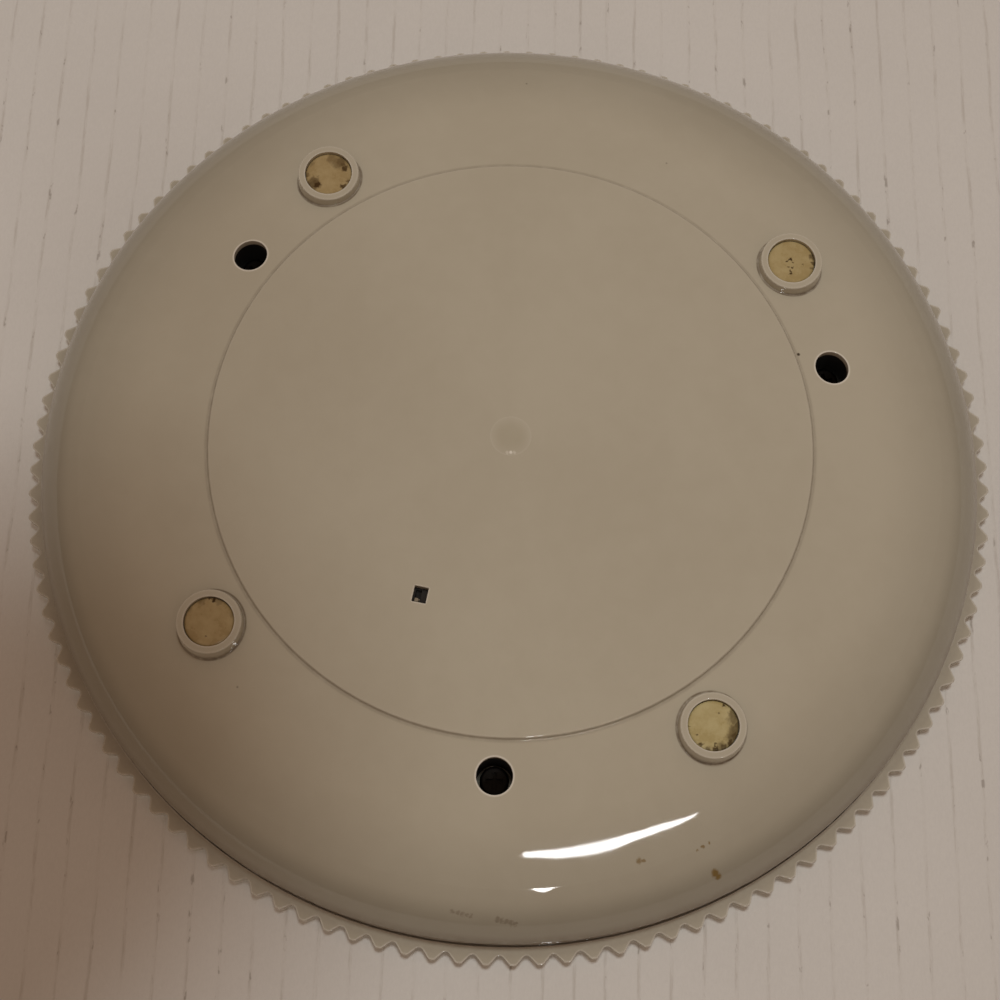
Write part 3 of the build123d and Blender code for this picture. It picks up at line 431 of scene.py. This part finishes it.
def lcd_glass():
    """Grey-green reflective panel with a darker edge seal."""
    recipe = Recipe("lcd_glass")
    haze = recipe.noise(0.004, 3.0, 0.6)
    colour = recipe.mix(recipe.ease(haze, 0.35, 0.65), (0.20, 0.225, 0.165), (0.235, 0.26, 0.195))
    offset = recipe.vector("SUBTRACT", recipe.point, (0.0, DISPLAY_Y, 0.0))
    split = recipe.node("ShaderNodeSeparateXYZ")
    recipe.feed(split.inputs[0], offset)
    side = recipe.ease(recipe.calc("ABSOLUTE", split.outputs["X"]), 0.0218, 0.0222)
    rim = recipe.ease(recipe.calc("ABSOLUTE", split.outputs["Y"]), 0.0071, 0.0074)
    colour = recipe.mix(recipe.calc("MAXIMUM", side, rim), colour, (0.06, 0.065, 0.05))
    recipe.put(Base_Color=colour, Roughness=recipe.ease(haze, 0.3, 0.7, 0.10, 0.18))
    recipe.put(Normal=recipe.relief(haze, 0.000004))
    return recipe.material


def lens_clear():
    """Clear window with light scratches."""
    recipe = Recipe("lens_clear")
    scratches = recipe.noise(0.0012, 4.0, 0.7, recipe.stretched((1.0, 22.0, 1.0), 31.0))
    marks = recipe.ease(scratches, 0.62, 0.72)
    recipe.put(Base_Color=recipe.mix(marks, (0.93, 0.94, 0.93), (0.86, 0.87, 0.86)))
    recipe.put(Roughness=recipe.ease(marks, 0.0, 1.0, 0.03, 0.16))
    recipe.put(Normal=recipe.relief(scratches, 0.000003))
    recipe.put(IOR=1.46, Transmission_Weight=1.0)
    return recipe.material


def battery_sleeve():
    """Shrink sleeve with bare metal toward both poles."""
    recipe = Recipe("battery_sleeve")
    wrinkle = recipe.noise(0.002, 4.0, 0.6, recipe.stretched((0.3, 1.0, 1.0)))
    split = recipe.node("ShaderNodeSeparateXYZ")
    recipe.feed(split.inputs[0], recipe.point)
    ends = recipe.ease(recipe.calc("ABSOLUTE", split.outputs["X"]), 0.0160, 0.0162)
    sleeve = recipe.mix(wrinkle, (0.42, 0.30, 0.035), (0.54, 0.40, 0.06))
    recipe.put(Base_Color=recipe.mix(ends, sleeve, (0.62, 0.60, 0.57)))
    recipe.put(Metallic=ends, Roughness=recipe.ease(wrinkle, 0.3, 0.7, 0.26, 0.4))
    recipe.put(Normal=recipe.relief(wrinkle, 0.00004))
    return recipe.material


def all_materials():
    """Every record slot with its material."""
    along_x = (1.0, 14.0, 14.0)
    fine = (9.0, 9.0, 9.0)
    return {
        "base_plastic": base_plastic(),
        "platform_plastic": platform_plastic(),
        "pad_rubber": pad_rubber(),
        "cell_steel": metal("cell_steel", (0.60, 0.60, 0.58), (0.47, 0.47, 0.46), 0.34, along_x),
        "cradle_plastic": plastic("cradle_plastic", (0.035, 0.035, 0.038), (0.022, 0.022, 0.024), 0.5),
        "gauge_seal": plastic("gauge_seal", (0.80, 0.79, 0.74), (0.70, 0.69, 0.64), 0.36, 0.001, 0.00003),
        "lead_jacket": plastic("lead_jacket", (0.035, 0.035, 0.037), (0.02, 0.02, 0.021), 0.4),
        "screw_steel": metal("screw_steel", (0.66, 0.66, 0.63), (0.50, 0.50, 0.47), 0.26, fine),
        "screw_black": metal("screw_black", (0.040, 0.038, 0.036), (0.022, 0.021, 0.020), 0.50, fine),
        "board_laminate": board_laminate(),
        "chip_resin": plastic("chip_resin", (0.028, 0.028, 0.030), (0.016, 0.016, 0.017), 0.6),
        "can_metal": metal("can_metal", (0.72, 0.71, 0.68), (0.58, 0.57, 0.54), 0.22, along_x),
        "capacitor_sleeve": plastic("capacitor_sleeve", (0.035, 0.045, 0.10), (0.02, 0.028, 0.07), 0.3),
        "connector_nylon": plastic("connector_nylon", (0.72, 0.69, 0.60), (0.62, 0.59, 0.50), 0.45),
        "switch_resin": plastic("switch_resin", (0.030, 0.030, 0.031), (0.018, 0.018, 0.019), 0.5),
        "slider_nylon": plastic("slider_nylon", (0.30, 0.26, 0.20), (0.24, 0.205, 0.155), 0.4),
        "frame_plastic": plastic("frame_plastic", (0.66, 0.65, 0.60), (0.57, 0.56, 0.51), 0.45),
        "lcd_glass": lcd_glass(),
        "strip_rubber": plastic("strip_rubber", (0.22, 0.22, 0.23), (0.15, 0.15, 0.16), 0.6),
        "foam": plastic("foam", (0.040, 0.040, 0.040), (0.020, 0.020, 0.020), 0.85, 0.0008, 0.00012),
        "ribbon_film": plastic("ribbon_film", (0.66, 0.66, 0.63), (0.56, 0.56, 0.53), 0.3),
        "battery_sleeve": battery_sleeve(),
        "contact_nickel": metal("contact_nickel", (0.72, 0.69, 0.62), (0.56, 0.53, 0.47), 0.24, along_x),
        "mat_vinyl": mat_vinyl(),
        "bezel_plastic": plastic("bezel_plastic", (0.030, 0.027, 0.024), (0.020, 0.018, 0.016), 0.25),
        "lens_clear": lens_clear(),
        "spring_steel": metal("spring_steel", (0.55, 0.55, 0.54), (0.40, 0.40, 0.39), 0.30, fine),
    }


# ---------------------------------------------------------------- meshes
def mesh_object(name, points, faces, material, smooth=True):
    """A new object from points and faces."""
    data = bpy.data.meshes.new(name)
    data.from_pydata(points, [], faces)
    data.validate()
    data.update()
    data.materials.append(material)
    for polygon in data.polygons:
        polygon.use_smooth = smooth
    made = bpy.data.objects.new(name, data)
    bpy.context.scene.collection.objects.link(made)
    return made


def lathe(name, profile, centre, material, shape, turns):
    """A closed turned body. The profile runs in (radius, z) from axis to axis; shape may move a point."""
    points = []
    faces = []
    rings = []
    for radius, height in profile:
        first = len(points)
        count = 1 if radius == 0 else turns
        for index in range(count):
            angle = 2 * math.pi * index / turns
            x = centre[0] + radius * math.cos(angle)
            y = centre[1] + radius * math.sin(angle)
            point = Vector((x, y, height))
            points.append(shape(point, radius) if shape else point)
        rings.append((first, count))
    for (first, count), (following, next_count) in zip(rings, rings[1:]):
        for index in range(turns):
            step = (index + 1) % turns
            if count == 1:
                faces.append((first, following + index, following + step))
            elif next_count == 1:
                faces.append((first + index, following, first + step))
            else:
                faces.append((first + index, following + index, following + step, first + step))
    return mesh_object(name, points, faces, material)


def loop_body(name, sections, material):
    """A closed band through equal cross-sections that follow each other round a circle."""
    size = len(sections[0])
    points = [point for section in sections for point in section]
    faces = []
    for index in range(len(sections)):
        here = index * size
        there = (index + 1) % len(sections) * size
        for corner in range(size):
            after = (corner + 1) % size
            faces.append((here + corner, here + after, there + after, there + corner))
    return mesh_object(name, points, faces, material)


def foot_pad_piece(name, material):
    """Slightly crowned pad with a rounded, uneven edge, in the recess of its foot."""
    low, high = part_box("foot_pad_" + name)
    face = low[2]
    thickness = high[2] - low[2]
    edge = 0.0008
    crown = 0.00004
    flat_steps = 12
    edge_steps = 6
    profile = [(0.0, face)]
    for index in range(1, flat_steps + 1):
        share = index / flat_steps
        profile.append(((PAD_RADIUS - edge) * share, face + crown * share ** 2))
    for index in range(1, edge_steps + 1):
        turn = math.pi / 2 * index / edge_steps
        drop = edge * (1 - math.cos(turn))
        profile.append((PAD_RADIUS - edge + edge * math.sin(turn), face + crown + drop))
    profile.append((PAD_RADIUS, face + thickness))
    profile.append((0.0, face + thickness))

    def uneven(point, radius):
        if point.z > face + edge:
            return point
        swell = noise.noise(point * 520.0) * 0.5 + noise.noise(point * 1400.0) * 0.2
        return point + Vector((0, 0, abs(swell) * 0.00016 * min(1.0, 2 * radius / PAD_RADIUS)))

    piece = lathe("pad_" + name, profile, station(name), material, uneven, 72)
    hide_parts("foot_pad_" + name)
    return piece


def gate_mark(material):
    """Trace of the injection gate in the middle of the underside: a low disc, highest at one side."""
    depth = 0.00010
    profile = [(0.0, PLATEAU_Z - 0.00002), (0.0020, PLATEAU_Z - 0.00003)]
    for radius, height in ((0.0040, 0.45), (0.0049, 0.90), (0.0053, 1.0),
                           (0.0056, 0.72), (0.0059, 0.25), (0.0062, 0.0)):
        profile.append((radius, PLATEAU_Z - depth * height))
    hidden_radius = 0.0082
    root_z = PLATEAU_Z + 0.0004
    profile += [(hidden_radius, PLATEAU_Z + 0.00004), (hidden_radius, root_z), (0.0, root_z)]
    high_side = Vector((*in_picture(0.0, -1.0), 0.0))

    def leaning(point, radius):
        drop = PLATEAU_Z - point.z
        if drop <= 0 or radius < 0.003:
            return point
        toward_side = max(0.0, Vector((point.x, point.y, 0)).normalized().dot(high_side))
        return Vector((point.x, point.y, PLATEAU_Z - drop * (0.12 + 0.88 * toward_side ** 3)))

    return lathe("gate_mark", profile, (0.0, 0.0), material, leaning, 96)


def wavy(angle, seed, amount):
    """Irregular offset that closes on itself round the circle."""
    around = Vector((math.cos(angle), math.sin(angle), seed))
    waves = ((1.0, 9.0), (0.7, 31.0), (0.3, 80.0))
    return amount * sum(share * noise.noise(around * pace) for share, pace in waves)


def flash_ring(name, radius, low, high, seed, amount, material):
    """Thin irregular moulding flash round the housing."""
    sections = []
    count = 1080
    for index in range(count):
        angle = 2 * math.pi * index / count
        outer = radius + max(0.00003, 0.00018 + wavy(angle, seed, amount))
        rise = wavy(angle, seed + 3.0, amount * 0.8)
        inner = radius - 0.0006
        section = []
        rounded = outer - 0.00012
        for reach, height in ((inner, low - 0.0003), (rounded, low), (outer, (low + high) / 2),
                              (rounded, high), (inner, high + 0.0003)):
            section.append(Vector((reach * math.cos(angle), reach * math.sin(angle), height + rise)))
        sections.append(section)
    return loop_body(name, sections, material)


def rib(y, x_from, x_to, half, height, base, points, faces):
    """One raised bar of the tread with sloped, rounded ends."""
    steps = 6
    rows = []
    length_stops = ((x_from, 0.0), (x_from + half * 0.25, 0.66), (x_from + half, 1.0),
                    (x_to - half, 1.0), (x_to - half * 0.25, 0.66), (x_to, 0.0))
    for x, size in length_stops:
        row = []
        for step in range(steps + 1):
            turn = math.pi * step / steps
            width = half * max(size, 0.02)
            row.append(len(points))
            rise = height * size * math.sin(turn) ** 0.7
            points.append(Vector((x, y - width * math.cos(turn), base + rise)))
        rows.append(row)
    for row, after in zip(rows, rows[1:]):
        for step in range(steps):
            faces.append((row[step], after[step], after[step + 1], row[step + 1]))
        faces.append((row[0], row[steps], after[steps], after[0]))
    faces.append(tuple(rows[0]))
    faces.append(tuple(reversed(rows[-1])))


def tread_ribs(material):
    """Parallel anti-slip bars over the mat, left out round the display."""
    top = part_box("tread_mat")[1][2]
    limit = 0.1325
    pitch = 0.0062
    half = 0.0014
    height = 0.0003
    window = (0.0375, 0.0185)
    base = top - 0.00002
    points = []
    faces = []
    rows = int(limit / pitch)
    for index in range(-rows, rows + 1):
        y = index * pitch
        reach = math.sqrt(limit ** 2 - y ** 2)
        if reach < 4 * half:
            continue
        if abs(y - DISPLAY_Y) < window[1]:
            if reach > window[0] + 4 * half:
                rib(y, -reach, -window[0], half, height, base, points, faces)
                rib(y, window[0], reach, half, height, base, points, faces)
        else:
            rib(y, -reach, reach, half, height, base, points, faces)
    return mesh_object("tread_ribs", points, faces, material)


def lcd_segments(material):
    """Unlit seven-segment figures with a decimal point, a little darker than the panel."""
    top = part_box("lcd_panel")[1][2]
    points = []
    faces = []

    def bar(x, y, length, width, upright):
        slant = 0.12
        half = width / 2
        outline = [(-length / 2, 0), (-length / 2 + half, half), (length / 2 - half, half),
                   (length / 2, 0), (length / 2 - half, -half), (-length / 2 + half, -half)]
        first = len(points)
        for level in (top - 0.00005, top + 0.00004):
            for u, v in outline:
                px, py = (v, u) if upright else (u, v)
                points.append(Vector((x + px + slant * (y + py), DISPLAY_Y + y + py, level)))
        lower = list(range(first, first + 6))
        upper = [index + 6 for index in lower]
        if upright:
            lower.reverse()
            upper.reverse()
        faces.append(tuple(lower))
        faces.append(tuple(reversed(upper)))
        for index in range(6):
            after = (index + 1) % 6
            faces.append((lower[index], upper[index], upper[after], lower[after]))

    width = 0.0010
    tall = 0.0048
    wide = 0.0046
    for x in (-0.0150, -0.0060, 0.0030, 0.0135):
        for y in (-tall - 0.0002, 0.0, tall + 0.0002):
            bar(x, y, wide, width, False)
        for side in (-1, 1):
            for y in (-tall / 2 - 0.0001, tall / 2 + 0.0001):
                bar(x + side * wide / 2 + side * 0.0001, y, tall - 0.0004, width, True)
    bar(0.0083, -tall - 0.0002, 0.0010, 0.0010, False)
    return mesh_object("lcd_segments", points, faces, material, False)


def segment_ink():
    """Unlit segments."""
    recipe = Recipe("lcd_segment_ink")
    haze = recipe.noise(0.002, 3.0, 0.6)
    recipe.put(Base_Color=recipe.mix(haze, (0.145, 0.165, 0.120), (0.165, 0.185, 0.135)))
    recipe.put(Roughness=recipe.ease(haze, 0.3, 0.7, 0.14, 0.22), Normal=recipe.relief(haze, 0.000003))
    return recipe.material


# ---------------------------------------------------------------- staging
def one_sided(recipe):
    """Shows the surface only from its front."""
    clear = recipe.node("ShaderNodeBsdfTransparent")
    facing = recipe.node("ShaderNodeNewGeometry").outputs["Backfacing"]
    chosen = recipe.node("ShaderNodeMixShader")
    recipe.feed(chosen.inputs[0], facing)
    recipe.tree.links.new(recipe.shader.outputs[0], chosen.inputs[1])
    recipe.tree.links.new(clear.outputs[0], chosen.inputs[2])
    output = recipe.tree.nodes["Material Output"]
    recipe.tree.links.new(chosen.outputs[0], output.inputs["Surface"])


def paper_material():
    """White lining paper with short faint embossed lines that run up the picture."""
    recipe = Recipe("paper")
    turn = recipe.node("ShaderNodeVectorRotate", rotation_type="Z_AXIS")
    recipe.feed(turn.inputs["Vector"], recipe.point)
    turn.inputs["Angle"].default_value = math.radians(360.0 - PICTURE_TURN)
    split = recipe.node("ShaderNodeSeparateXYZ")
    recipe.feed(split.inputs[0], turn.outputs[0])
    drift = recipe.noise(0.05, 2.0)
    across = recipe.calc("ADD", split.outputs["X"], recipe.calc("MULTIPLY", drift, 0.003))
    phase = recipe.calc("FRACT", recipe.calc("DIVIDE", across, PAPER_LINE_PITCH))
    line = recipe.ease(recipe.calc("ABSOLUTE", recipe.calc("SUBTRACT", phase, 0.5)), 0.02, 0.085, 1.0, 0.0)
    stretched = recipe.vector("MULTIPLY", turn.outputs[0], (9.0, 1.0, 1.0))
    broken = recipe.ease(recipe.noise(0.016, 4.0, 0.75, stretched), 0.44, 0.68, 0.12, 1.0)
    streak = recipe.calc("MULTIPLY", line, broken)
    fibres = recipe.noise(0.0016, 4.0, 0.7, recipe.vector("MULTIPLY", turn.outputs[0], (2.4, 1.0, 1.0)))
    clouds = recipe.noise(0.06, 3.0, 0.6)
    tone = recipe.calc("ADD", recipe.calc("MULTIPLY", fibres, 0.6), recipe.calc("MULTIPLY", clouds, 0.4))
    colour = recipe.mix(recipe.ease(tone, 0.3, 0.7), (0.775, 0.765, 0.755), (0.825, 0.815, 0.805))
    colour = recipe.mix(recipe.calc("MULTIPLY", streak, 0.36), colour, (0.48, 0.43, 0.38))
    short = recipe.vector("MULTIPLY", turn.outputs[0], (2.5, 1.0, 1.0))
    scattered = recipe.ease(recipe.noise(0.0055, 3.0, 0.6, short), 0.60, 0.70, 0.0, 0.50)
    colour = recipe.mix(recipe.calc("MULTIPLY", line, scattered), colour, (0.26, 0.22, 0.19))
    recipe.put(Base_Color=colour, Roughness=recipe.ease(fibres, 0.3, 0.7, 0.75, 0.9), Specular_IOR_Level=0.2)
    recipe.put(Normal=recipe.relief(streak, 0.0002, 0.5, recipe.relief(fibres, 0.00006, 0.6)))
    one_sided(recipe)
    return recipe.material


def floor_material():
    """Plain pale floor below the standing scale."""
    recipe = Recipe("floor")
    grain = recipe.noise(0.004, 3.0, 0.6)
    recipe.put(Base_Color=recipe.mix(grain, (0.70, 0.69, 0.67), (0.74, 0.73, 0.71)), Roughness=0.7)
    recipe.put(Normal=recipe.relief(grain, 0.00005))
    one_sided(recipe)
    return recipe.material


def table_plane():
    """Paper that faces down, with a hole above the platform, seen only from below."""
    half = TABLE_SIZE / 2
    count = 64
    points = []
    for index in range(count):
        angle = 2 * math.pi * index / count
        across = (math.cos(angle), math.sin(angle))
        reach = half / max(abs(across[0]), abs(across[1]))
        points.append(Vector((TABLE_HOLE * across[0], TABLE_HOLE * across[1], TABLE_Z)))
        points.append(Vector((reach * across[0], reach * across[1], TABLE_Z)))
    faces = []
    for index in range(count):
        here = 2 * index
        there = 2 * ((index + 1) % count)
        faces.append((here, there, there + 1, here + 1))
    plane = mesh_object("table_paper", points, faces, paper_material())
    plane.visible_shadow = False


def floor_plane():
    """Large floor at the height of the feet, seen only from above."""
    count = 96
    points = [Vector((0, 0, FLOOR_Z))]
    faces = []
    for index in range(count):
        angle = 2 * math.pi * index / count
        points.append(Vector((FLOOR_RADIUS * math.cos(angle), FLOOR_RADIUS * math.sin(angle), FLOOR_Z)))
        faces.append((0, 1 + index, 1 + (index + 1) % count))
    plane = mesh_object("floor", points, faces, floor_material())
    plane.visible_shadow = False
    plane.visible_diffuse = False
    plane.visible_glossy = False


def toward(azimuth, elevation):
    """Unit vector from the scale toward a place round it."""
    a = math.radians(azimuth)
    e = math.radians(elevation)
    return Vector((math.sin(a) * math.cos(e), -math.cos(a) * math.cos(e), math.sin(e)))


def lamp(name, azimuth, elevation, distance, size, radiance, colour):
    """Rectangular lamp that faces the scale."""
    data = bpy.data.lights.new(name, "AREA")
    data.shape = "RECTANGLE"
    data.size, data.size_y = size
    data.energy = radiance * size[0] * size[1] * math.pi
    data.color = colour
    made = bpy.data.objects.new(name, data)
    bpy.context.scene.collection.objects.link(made)
    back = toward(azimuth, elevation)
    made.location = LAMP_TARGET + back * distance
    made.rotation_mode = "QUATERNION"
    made.rotation_quaternion = (-back).to_track_quat("-Z", "Y")
    made.visible_camera = False
    return made


# Outlines of the two shades on the table.
PERSON_SHADE = ((-0.174, 0.052), (-0.153, 0.045), (-0.117, 0.034), (-0.077, 0.059),
                (-0.051, 0.086), (-0.034, 0.110), (-0.027, 0.136), (-0.043, 0.167),
                (-0.058, 0.191), (-0.10, 0.30), (-0.34, 0.34), (-0.42, 0.12))
FAINT_SHADE = ((-0.035, 0.045), (-0.045, 0.0), (-0.065, -0.045), (-0.10, -0.085),
               (-0.142, -0.12), (-0.165, 0.0), (-0.16, 0.10), (-0.09, 0.075))


def flag(name, edge, share, density):
    """Board below the main lamp that casts the given soft shade on the table, as a person would."""
    source = toward(MAIN_AZIMUTH, MAIN_ELEVATION) * LAMP_DISTANCE + LAMP_TARGET
    points = []
    for x, y in edge:
        shaded = Vector((x, y, TABLE_Z))
        points.append(shaded.lerp(source, share))
    recipe = Recipe(name)
    recipe.put(Base_Color=(0.02, 0.02, 0.02), Alpha=density)
    board = mesh_object(name, points, [tuple(range(len(points)))], recipe.material, False)
    board.visible_camera = False
    board.visible_diffuse = False
    board.visible_glossy = False
    board.visible_transmission = False


def mirror_place(angle, radius):
    """Where a small light has to be for its reflection to lie on the dome or shoulder at that place."""
    on_dome = min(radius, SHOULDER_START)
    lean = (on_dome - DOME_CENTRE[0]) / DOME_CURVE
    upright = math.sqrt(1 - lean ** 2)
    tilt = math.asin(lean + (radius - on_dome) / SHOULDER_CURVE)
    height = DOME_CENTRE[1] - DOME_CURVE * upright + SHOULDER_CURVE * (upright - math.cos(tilt))
    across = Vector((math.cos(angle), math.sin(angle), 0))
    place = across * radius + Vector((0, 0, height))
    normal = across * math.sin(tilt) - Vector((0, 0, math.cos(tilt)))
    sight = (Vector(VIEW_POSITION) - place).normalized()
    return place + (2 * normal.dot(sight) * normal - sight) * LAMP_DISTANCE


def strip_light(name, from_angle, to_angle, radius, half_width, strength, steps):
    """Thin curved light below the scale that only shows in reflections; blunt at its first end."""
    recipe = Recipe(name)
    glow = recipe.node("ShaderNodeEmission")
    glow.inputs["Strength"].default_value = strength
    recipe.tree.links.new(glow.outputs[0], recipe.tree.nodes["Material Output"].inputs["Surface"])
    points = []
    faces = []
    for step in range(steps + 1):
        share = step / steps
        angle = math.radians(from_angle + (to_angle - from_angle) * share)
        taper = math.sin(math.pi * (0.12 + 0.88 * share)) ** 0.8
        half = half_width * (0.08 + 0.92 * taper)
        points.append(mirror_place(angle, radius - half))
        points.append(mirror_place(angle, radius + half))
        if step:
            here = 2 * step
            faces.append((here - 2, here - 1, here + 1, here))
    strip = mesh_object(name, points, faces, recipe.material, False)
    strip.visible_camera = False
    strip.visible_diffuse = False
    strip.visible_shadow = False


def lights():
    """A soft main lamp and two thin strips below, a soft pair above."""
    main = lamp("main", MAIN_AZIMUTH, MAIN_ELEVATION, LAMP_DISTANCE, (0.25, 0.25), 37.0, (0.985, 1.0, 0.96))
    main.visible_glossy = False
    strip_light("long_strip", 76.8, 52.8, 0.1231, 0.0014, 30.0, 24)
    strip_light("short_strip", 75.9, 72.5, 0.1324, 0.0014, 34.0, 8)
    lamp("top_left", 305.0, 58.0, 1.5, (0.7, 0.7), 3.0, (1.0, 0.98, 0.95))
    lamp("top_right", 60.0, 50.0, 1.8, (0.9, 0.6), 1.6, (1.0, 0.97, 0.93))


def room():
    """World light: a warm room below that is dark along the horizon, pale surroundings above."""
    world = bpy.data.worlds.new("room")
    bpy.context.scene.world = world
    world.use_nodes = True
    tree = world.node_tree
    background = tree.nodes["Background"]
    direction = tree.nodes.new("ShaderNodeTexCoord").outputs["Generated"]
    split = tree.nodes.new("ShaderNodeSeparateXYZ")
    tree.links.new(direction, split.inputs[0])
    level = tree.nodes.new("ShaderNodeMapRange")
    level.inputs["From Min"].default_value = -1.0
    tree.links.new(split.outputs["Z"], level.inputs["Value"])
    ramp = tree.nodes.new("ShaderNodeValToRGB")
    tree.links.new(level.outputs[0], ramp.inputs[0])
    tones = ((-1.0, (0.300, 0.210, 0.150)), (-0.6, (0.275, 0.192, 0.136)), (-0.25, (0.130, 0.090, 0.065)),
             (-0.012, (0.100, 0.070, 0.050)), (-0.002, (0.430, 0.390, 0.340)), (1.0, (0.500, 0.470, 0.430)))
    while len(ramp.color_ramp.elements) < len(tones):
        ramp.color_ramp.elements.new(0.5)
    for stop, (height, tone) in zip(ramp.color_ramp.elements, tones):
        stop.position = (height + 1) / 2
        stop.color = (*tone, 1.0)
    tree.links.new(ramp.outputs[0], background.inputs["Color"])
    background.inputs["Strength"].default_value = 1.0


def camera():
    """Camera below the scale, at the angle of the reference view."""
    data = bpy.data.cameras.new("view")
    data.lens = LENS
    data.sensor_width = 36.0
    made = bpy.data.objects.new("view", data)
    bpy.context.scene.collection.objects.link(made)
    made.location = VIEW_POSITION
    turn = (-toward(VIEW_AZIMUTH, VIEW_ELEVATION)).to_track_quat("-Z", "Y")
    made.rotation_mode = "QUATERNION"
    made.rotation_quaternion = turn @ Matrix.Rotation(math.radians(VIEW_ROLL), 3, "Z").to_quaternion()
    bpy.context.scene.camera = made


# ---------------------------------------------------------------- the whole scene
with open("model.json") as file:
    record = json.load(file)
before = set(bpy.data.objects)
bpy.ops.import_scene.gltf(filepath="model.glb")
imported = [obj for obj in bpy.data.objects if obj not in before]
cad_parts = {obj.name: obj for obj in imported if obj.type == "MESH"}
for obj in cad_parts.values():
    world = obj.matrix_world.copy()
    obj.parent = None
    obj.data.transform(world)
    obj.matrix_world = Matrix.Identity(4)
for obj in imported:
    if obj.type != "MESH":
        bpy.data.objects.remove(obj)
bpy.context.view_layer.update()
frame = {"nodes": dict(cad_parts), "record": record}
finishes = all_materials()
slots = {row["node"]: row["material_slot"] for row in frame["record"]["subparts"]}
for node, part in frame["nodes"].items():
    part.data.materials.clear()
    part.data.materials.append(finishes[slots[node]])

on_base = []
for place in STATIONS:
    on_base.append((foot_pad_piece(place, finishes["pad_rubber"]), "pad_rubber"))
on_base.append((gate_mark(finishes["base_plastic"]), "base_plastic"))
for name, low, high, seed, amount in FLASH_RINGS:
    ring = flash_ring(name, SEAM_RADIUS, low, high, seed, amount, finishes["base_plastic"])
    on_base.append((ring, "base_plastic"))
on_base.append((lcd_segments(segment_ink()), "lcd_glass"))
for piece, finish in on_base:
    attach(piece, "base")
ribs = tread_ribs(finishes["mat_vinyl"])
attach(ribs, "platform")

table_plane()
floor_plane()
flag("person_flag", PERSON_SHADE, 0.26, 1.0)
flag("faint_flag", FAINT_SHADE, 0.28, 0.26)
lights()
room()
camera()
bpy.context.scene.view_settings.view_transform = "Standard"
